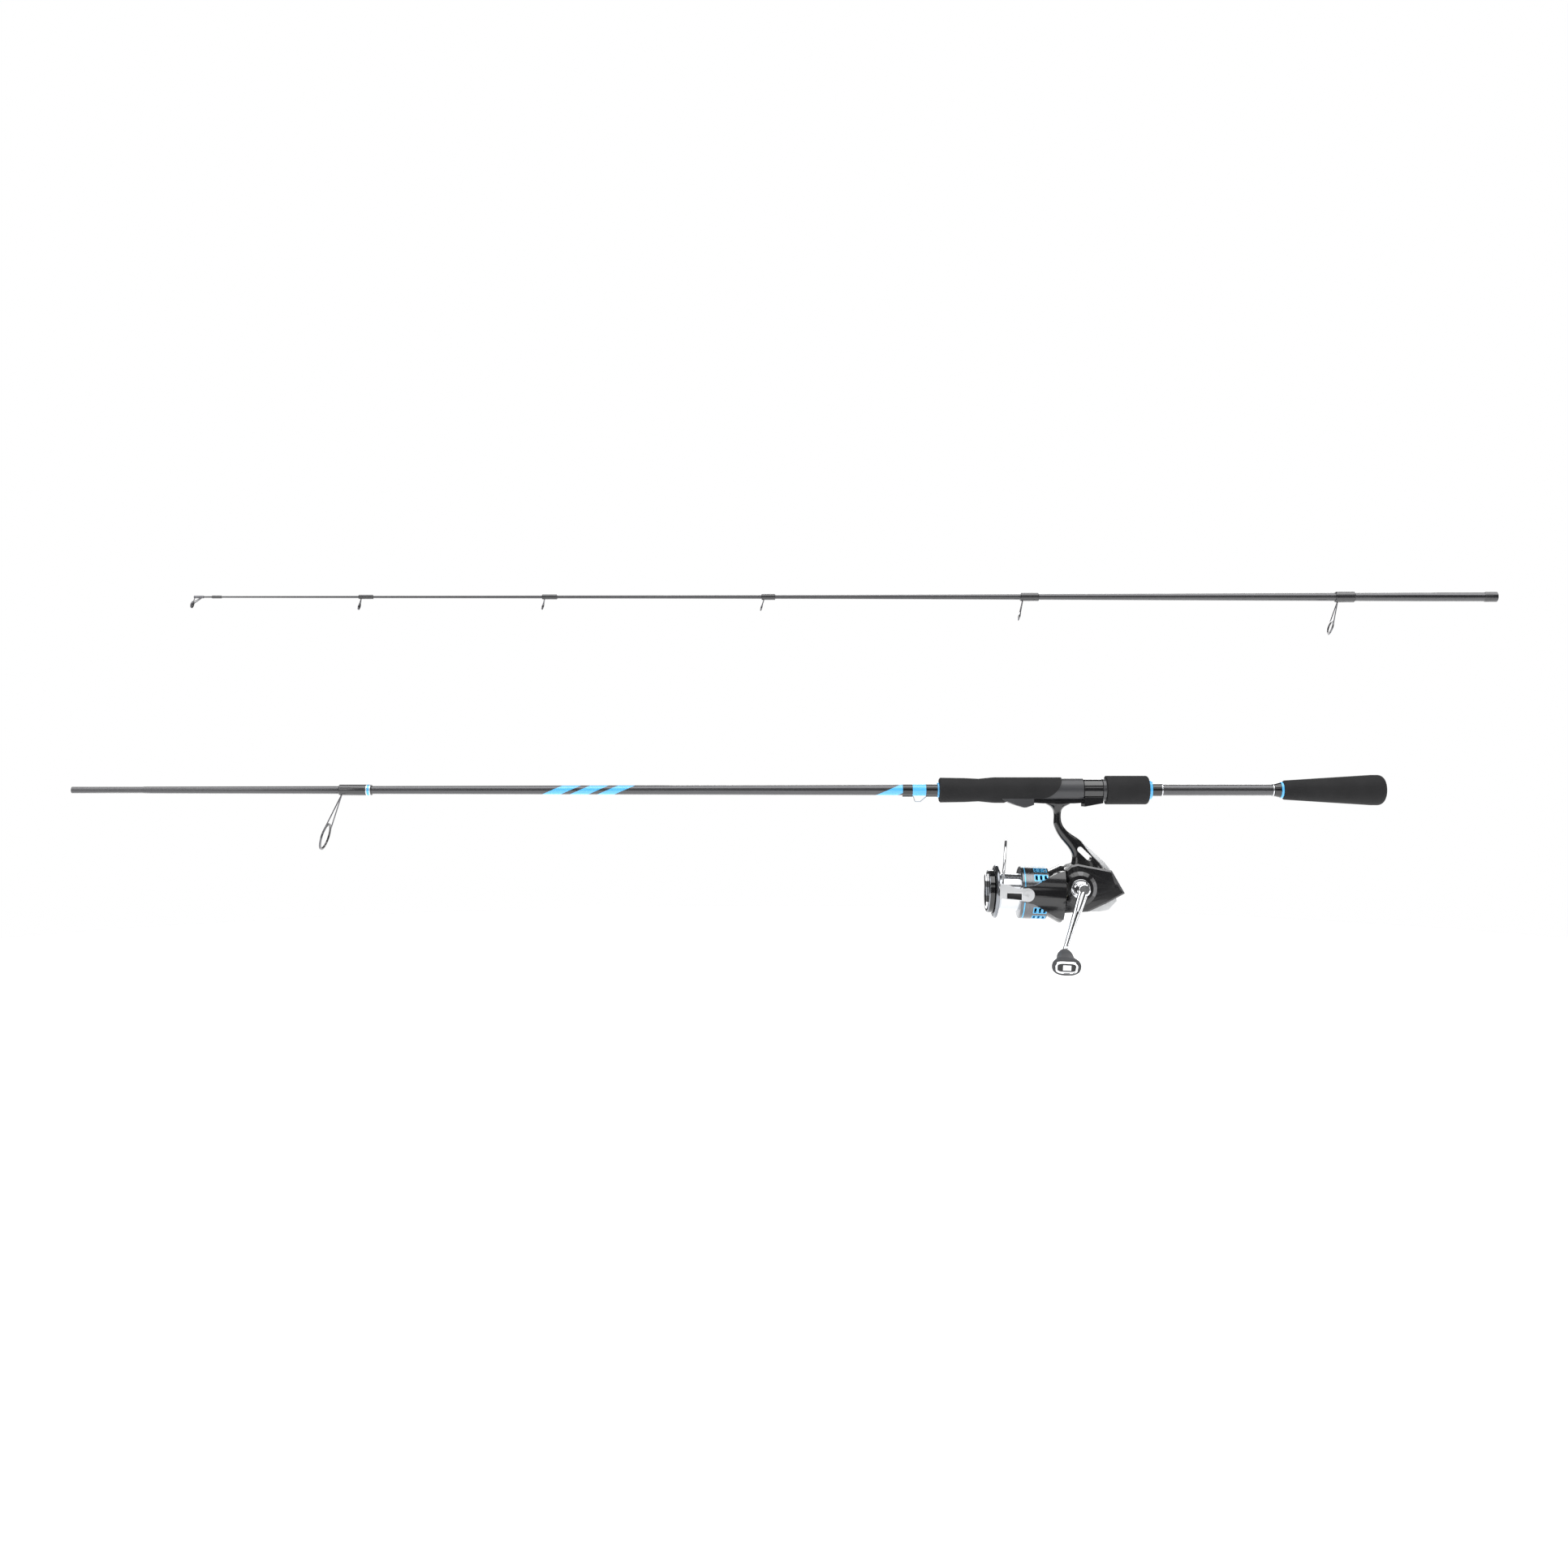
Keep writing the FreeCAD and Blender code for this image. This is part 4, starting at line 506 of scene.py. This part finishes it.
# %% Copies with soft edges
def merged_copy(node):
    """A bmesh of a CAD node with whole flat faces."""
    mesh = bmesh.new()
    mesh.from_mesh(nodes[node].data)
    bmesh.ops.remove_doubles(mesh, verts=mesh.verts, dist=2e-6)
    bmesh.ops.dissolve_limit(mesh, angle_limit=math.radians(0.8), verts=mesh.verts,
                             edges=mesh.edges)
    return mesh


def piece(name, mesh, node, finishes, edge=0.3, segments=2, smooth=32, others=()):
    """An object from a bmesh that stands for a CAD node and rides on its body."""
    data = bpy.data.meshes.new(name)
    mesh.to_mesh(data)
    mesh.free()
    for polygon in data.polygons:
        polygon.use_smooth = True
    data.set_sharp_from_angle(angle=math.radians(smooth))
    made = bpy.data.objects.new(name, data)
    bpy.context.scene.collection.objects.link(made)
    for finish in finishes:
        data.materials.append(FINISHES[finish])
    if edge:
        bevel = made.modifiers.new("soft_edges", "BEVEL")
        bevel.width = edge * MM
        bevel.segments = segments
        bevel.limit_method = "ANGLE"
        bevel.angle_limit = math.radians(smooth)
        bevel.harden_normals = True
    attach(made, body_of[node])
    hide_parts(node, *others)
    return made


# node: its finish and the width of its soft edges in millimetres
SOFTENED = {
    "butt_blank": ("banded_graphite", 0), "tip_blank": ("graphite", 0),
    "butt_guide_frame": ("dark_metal", 0.12), "tip_guide_frames": ("dark_metal", 0.08),
    "tip_top_frame": ("dark_metal", 0.08), "butt_guide_ring": ("dark_ceramic", 0.25),
    "tip_guide_rings": ("dark_ceramic", 0.15), "tip_top_ring": ("dark_ceramic", 0.12),
    "butt_guide_wrap": ("trimmed_thread", 0.3), "tip_guide_wraps": ("thread", 0.15),
    "ferrule_wrap": ("thread", 0.1), "keeper_wraps": ("gloss_black", 0.1),
    "keeper_band": ("sky_blue", 0.08), "winding_checks": ("sky_blue", 0.35),
    "hook_keeper": ("steel_wire", 0), "foregrip": ("foam", 0.8), "butt_grip": ("foam", 1.2),
    "lock_nut_grip": ("foam", 0.25), "reel_seat": ("seat_plastic", 0.5),
    "sliding_hood": ("hood_black", 0.5), "lock_nut": ("satin_hood", 0.3),
    "lock_nut_check": ("sky_blue", 0.3), "rear_collar": ("gloss_black", 0.2),
    "trim_rings": ("silver", 0.1), "butt_collar": ("gloss_black", 0.3),
    "reel_body": ("reel_paint", 0.7), "rear_guard": ("pearl", 0.6),
    "handle_ring": ("chrome", 0.4), "handle_collar": ("chrome", 0.4),
    "handle_cap": ("reel_paint", 0.4), "rotor": ("reel_paint", 0.8),
    "bail_screws": ("bright_cast", 0.25), "bail_lever": ("bright_cast", 0.5),
    "bail_wire": ("chrome", 0),
    "line_roller": ("chrome", 0.2), "spool_lip": ("lip_metal", 0.35),
    "drag_knob": ("gloss_black", 0.4), "body_screws": ("black_screw", 0.15),
    "knob_grip": ("knob_rubber", 0.5), "rotor_nut": ("screw_steel", 0.2),
    "knob_shaft": ("bearing_steel", 0.15),
}
for node, (finish, edge) in SOFTENED.items():
    piece(f"{node}_shape", merged_copy(node), node, [finish], edge)
print(len(SOFTENED), "pieces with soft edges")

# %% [markdown]
# ## Spool
# One turned piece with three finishes: bright where the line lies, dark silver on the skirt, and
# dark inside. Each face takes the finish of its own place, found by its distance along the spool
# and from its axis.

# %% Spool
ARBOR_FRONT = -50 * MM
ARBOR_REACH = 20 * MM
SKIRT_FRONT = -33.2 * MM
SKIRT_INSIDE = 20.2 * MM
spool_mesh = merged_copy("spool")
to_reel = REEL.inverted()
for face in spool_mesh.faces:
    middle = to_reel @ face.calc_center_median()
    radius = math.hypot(middle.y, middle.z)
    if ARBOR_FRONT < middle.x < SKIRT_FRONT and radius < ARBOR_REACH:
        face.material_index = 0
    elif radius > SKIRT_INSIDE:
        face.material_index = 1
    else:
        face.material_index = 2
piece("spool_shape", spool_mesh, "spool", ["bright_metal", "skirt", "lip_metal"], 0.18)
print("spool in three finishes")

# %% [markdown]
# ## Side cover
# The cover on the crank's side is the largest face of the reel. Its top and rear edges slope away
# in a broad facet, which is the pale line that draws the reel's shape. The facets take a paler
# satin finish of their own, found by the way they face: a painted highlight that stands in for the
# light they catch.

# %% Side cover
# how steeply a facet slopes away from the outer face, and how far up or back it looks for the
# painted highlight
FACET_STEEP, FACET_SHALLOW = -0.4, -0.9
FACET_UP, FACET_BACK = 0.55, 0.5
cover_mesh = merged_copy("side_cover")
facets = 0
for face in cover_mesh.faces:
    outward = to_reel.to_3x3() @ face.normal
    sloping = FACET_SHALLOW < face.normal.y < FACET_STEEP
    # a facet that slopes away and looks up or back gets the paler colour, a painted highlight
    if sloping and (outward.z > FACET_UP or outward.x > FACET_BACK):
        face.material_index = 1
        facets += 1
print(facets, "pale facets")
piece("side_cover_shape", cover_mesh, "side_cover", ["reel_paint", "painted_highlight_facet"], 0.5, 3)
print("side cover")

# %% [markdown]
# ## Bail arm
# The arm that carries the line roller is a bright casting with a scooped black panel. The plate's
# outer face is cut across at the panel's ends and top, and that part is inset and pushed in.

# %% Bail arm and its scoop
SCOOP_FRONT = -47 * MM
SCOOP_REAR = -33.8 * MM
SCOOP_TOP = 1.6 * MM
SCOOP_MARGIN = 0.45 * MM
SCOOP_SLOPE = 0.2 * MM
SCOOP_DEPTH = 0.6 * MM
bail_mesh = merged_copy("bail_arm")
for point, normal in (((SCOOP_FRONT, 0, 0), reel_x), ((SCOOP_REAR, 0, 0), reel_x),
                      ((0, 0, SCOOP_TOP), reel_z)):
    bmesh.ops.bisect_plane(bail_mesh, geom=[*bail_mesh.verts, *bail_mesh.edges, *bail_mesh.faces],
                           plane_co=REEL @ Vector(point), plane_no=normal)
scoop = []
for face in bail_mesh.faces:
    middle = to_reel @ face.calc_center_median()
    outer = face.normal.y < -0.98
    if outer and SCOOP_FRONT < middle.x < SCOOP_REAR and middle.z < SCOOP_TOP:
        scoop.append(face)
bmesh.ops.inset_region(bail_mesh, faces=scoop, thickness=SCOOP_MARGIN, depth=0,
                       use_even_offset=True)
bmesh.ops.inset_region(bail_mesh, faces=scoop, thickness=SCOOP_SLOPE, depth=-SCOOP_DEPTH,
                       use_even_offset=True)
for face in scoop:
    face.material_index = 1
piece("bail_arm_shape", bail_mesh, "bail_arm", ["bright_cast", "recess_black"], 0.35)
print("bail arm scoop of", len(scoop), "faces")

# %% [markdown]
# ## Drag knob's rim
# The knob's rim is black like its face, with one grey metal edge at the front. Faces near the
# front edge take the metal finish.

# %% Drag knob rim
METAL_EDGE = -57.9 * MM
rim_mesh = merged_copy("drag_knob_ring")
for face in rim_mesh.faces:
    face.material_index = 0 if (to_reel @ face.calc_center_median()).x > METAL_EDGE else 1
piece("drag_knob_rim", rim_mesh, "drag_knob_ring", ["gloss_black", "lip_metal"], 0.25)
print("drag knob rim")

# %% [markdown]
# The grip bar across the knob's face has bright tips, black flanks and a grey middle. The bright
# tips and grey middle are painted highlights, placed where the knob's metal catches light rather
# than a known paint scheme. The bar is cut across at each change of finish, along whichever way
# it is longer.

# %% Drag knob bar
# the bar's ends past the first distance are painted chrome and its middle inside the second is
# painted grey metal: painted highlights
HIGHLIGHT_TIP_FROM, HIGHLIGHT_MIDDLE_TO = 8.5 * MM, 3.5 * MM
bar_mesh = merged_copy("drag_knob_bar")
bar_places = [to_reel @ vert.co for vert in bar_mesh.verts]
bar_span = [max(place[axis] for place in bar_places) - min(place[axis] for place in bar_places)
            for axis in range(3)]
bar_axis = 1 if bar_span[1] > bar_span[2] else 2
bar_run = (reel_x, reel_y, reel_z)[bar_axis]
for cut in (-HIGHLIGHT_TIP_FROM, -HIGHLIGHT_MIDDLE_TO, HIGHLIGHT_MIDDLE_TO, HIGHLIGHT_TIP_FROM):
    bmesh.ops.bisect_plane(bar_mesh, geom=[*bar_mesh.verts, *bar_mesh.edges, *bar_mesh.faces],
                           plane_co=reel_place + bar_run * cut, plane_no=bar_run)
for face in bar_mesh.faces:
    reach = abs((to_reel @ face.calc_center_median())[bar_axis])
    # chrome tips and grey middle as painted highlights, black between
    face.material_index = 0 if reach > HIGHLIGHT_TIP_FROM else 1 if reach > HIGHLIGHT_MIDDLE_TO else 2
piece("drag_knob_bar_painted_highlights", bar_mesh, "drag_knob_bar",
      ["chrome", "gloss_black", "lip_metal"], 0.3)
print("drag knob bar along axis", bar_axis, [round(span / MM, 1) for span in bar_span])

# %% [markdown]
# ## Crank arm
# The crank arm is a bright forging that narrows towards the knob, with a long black recess. It
# starts as an eight-sided outline that is extruded station by station, which keeps its faces in
# rows; the outer row is inset for the recess, and subdivision rounds the whole.

# %% Crank arm
OUTLINE_SIDES = 8
# distance from the hub, half width and half thickness, in millimetres
ARM_STATIONS = [(0, 4.4, 2.9), (3, 4.6, 3.0), (9, 4.3, 2.8), (18, 3.9, 2.6), (24, 3.6, 2.5),
                (34, 3.2, 2.4), (44, 2.8, 2.3), (52, 2.7, 2.3), (57.6, 2.7, 2.3), (58.6, 2.2, 1.9)]
RECESS_FROM, RECESS_TO = 18, 52
RECESS_MARGIN = 0.22 * MM
RECESS_SLOPE = 0.15 * MM
RECESS_DEPTH = 0.7 * MM


def drawn_out(stations):
    """An eight-sided bar along +Z through stations of distance, half width and half depth."""
    mesh = bmesh.new()
    made = bmesh.ops.create_circle(mesh, cap_ends=True, segments=OUTLINE_SIDES, radius=1.0)
    bmesh.ops.rotate(mesh, verts=made["verts"], matrix=Matrix.Rotation(math.pi / OUTLINE_SIDES,
                                                                       3, "Z"))
    last_size = (1.0 / MM, 1.0 / MM)
    ring = made["verts"]
    face = ring[0].link_faces[0]
    place = 0.0
    for number, (distance, wide, deep) in enumerate(stations):
        if number:
            grown = bmesh.ops.extrude_face_region(mesh, geom=[face])["geom"]
            bmesh.ops.delete(mesh, geom=[face], context="FACES_ONLY")
            face = [item for item in grown if isinstance(item, bmesh.types.BMFace)][0]
            ring = list(face.verts)
        bmesh.ops.translate(mesh, verts=ring, vec=(0, 0, (distance - place) * MM))
        bmesh.ops.scale(mesh, verts=ring, vec=(wide / last_size[0], deep / last_size[1], 1))
        last_size = (wide, deep)
        place = distance
    bmesh.ops.recalc_face_normals(mesh, faces=mesh.faces)
    return mesh


arm_mesh = drawn_out(ARM_STATIONS)
outer_faces = [face for face in arm_mesh.faces
               if face.normal.y < -0.9
               and RECESS_FROM * MM < face.calc_center_median().z < RECESS_TO * MM]
bmesh.ops.inset_region(arm_mesh, faces=outer_faces, thickness=RECESS_MARGIN, depth=0,
                       use_even_offset=True)
bmesh.ops.inset_region(arm_mesh, faces=outer_faces, thickness=RECESS_SLOPE, depth=-RECESS_DEPTH,
                       use_even_offset=True)
for face in outer_faces:
    face.material_index = 1
bmesh.ops.transform(arm_mesh, matrix=ARM, verts=arm_mesh.verts)
crank_arm = piece("crank_arm", arm_mesh, "handle_arm", ["chrome", "recess_black"], 0, smooth=60)
rounding = crank_arm.modifiers.new("rounding", "SUBSURF")
rounding.levels = rounding.render_levels = 2
print(len(outer_faces), "faces in the crank arm's recess")

# %% [markdown]
# The arm grows out of a round hub at one end and ends in an eye that holds the knob's shaft. Both
# are short drums with rounded rims, one across the arm and one along the knob's shaft. The hub's
# shank runs on through the collar into the drive gear.

# %% Hub, shank and eye
def drum(name, run, centre, radius, half_length, node, finishes, edge):
    """A short round drum with rounded rims."""
    mesh = bmesh.new()
    bmesh.ops.create_cone(mesh, cap_ends=True, segments=48, radius1=radius * MM,
                          radius2=radius * MM, depth=2 * half_length * MM)
    turn = Vector(run).to_track_quat("Z", "Y").to_matrix().to_4x4()
    turn.translation = centre
    bmesh.ops.transform(mesh, matrix=turn, verts=mesh.verts)
    return piece(name, mesh, node, finishes, edge, 3)


HUB_INWARD = 0.4 * MM
SHANK_INWARD = 22.6 * MM
inward = Vector((0, 1, 0))
drum("crank_hub", inward, crank_hub + inward * HUB_INWARD, 5.2, 3.6, "handle_arm", ["chrome"],
     1.5)
drum("crank_shank", inward, crank_hub + inward * SHANK_INWARD, 2.2, 18.6, "handle_arm",
     ["bearing_steel"], 0.3)
drum("crank_eye", knob_run, knob_end, 3.2, 2.4, "handle_arm", ["chrome"], 0.6)
print("hub, shank and eye")

# %% [markdown]
# ## Knob cap
# The knob ends in a bright frame round a black well, with a pale block in its middle. The well is
# the cap's outer face, inset and pushed in; the block is a bevelled box that stands in it.

# %% Knob cap
CAP_BLOCK = (6.6, 4.6, 0.9)
WELL_MARGIN, WELL_DEPTH = 1.3, 0.6


def recessed(mesh, direction, margin, depth, index):
    """Insets the largest face that looks along the direction, pushes it in, marks its finish."""
    facing = [face for face in mesh.faces if face.normal.dot(direction) > 0.98]
    chosen = max(facing, key=lambda face: face.calc_area())
    bmesh.ops.inset_region(mesh, faces=[chosen], thickness=margin * MM, depth=-depth * MM,
                           use_even_offset=True)
    chosen.material_index = index
    return chosen


cap_mesh = merged_copy("knob_cap")
well = recessed(cap_mesh, knob_run, WELL_MARGIN, WELL_DEPTH, 1)
well_centre = well.calc_center_median()
piece("knob_cap_shape", cap_mesh, "knob_cap", ["chrome", "recess_black"], 0.25)
block_mesh = bmesh.new()
bmesh.ops.create_cube(block_mesh, size=1.0)
bmesh.ops.scale(block_mesh, verts=block_mesh.verts, vec=[side * MM for side in CAP_BLOCK])
level_side = Vector((1, 0, 0)).cross(knob_run).normalized()
level_along = level_side.cross(knob_run).normalized()
block_turn = along(-level_along, level_side, knob_run, well_centre)
bmesh.ops.transform(block_mesh, matrix=block_turn, verts=block_mesh.verts)
piece("knob_cap_block", block_mesh, "knob_cap", ["silver"], 0.3)
print("knob cap")

# %% [markdown]
# ## Finishes on the pieces that stay as they are
# The gears, bearings and shafts inside the reel keep their CAD shapes and only get their finish.

# %% Inner pieces
INNER = {
    "guide_rod": "screw_steel", "drive_bearings": "bearing_steel",
    "pinion_bearing": "bearing_steel", "one_way_clutch": "bearing_steel",
    "main_shaft": "bearing_steel", "knob_bushes": "bearing_steel", "spool_washer": "screw_steel",
    "drive_gear": "gear_alloy", "pinion": "brass", "oscillation_gear": "nylon",
    "oscillation_slider": "nylon", "drag_washers": "felt",
}
for node, finish in INNER.items():
    nodes[node].data.materials.clear()
    nodes[node].data.materials.append(FINISHES[finish])
print(len(INNER), "inner pieces")
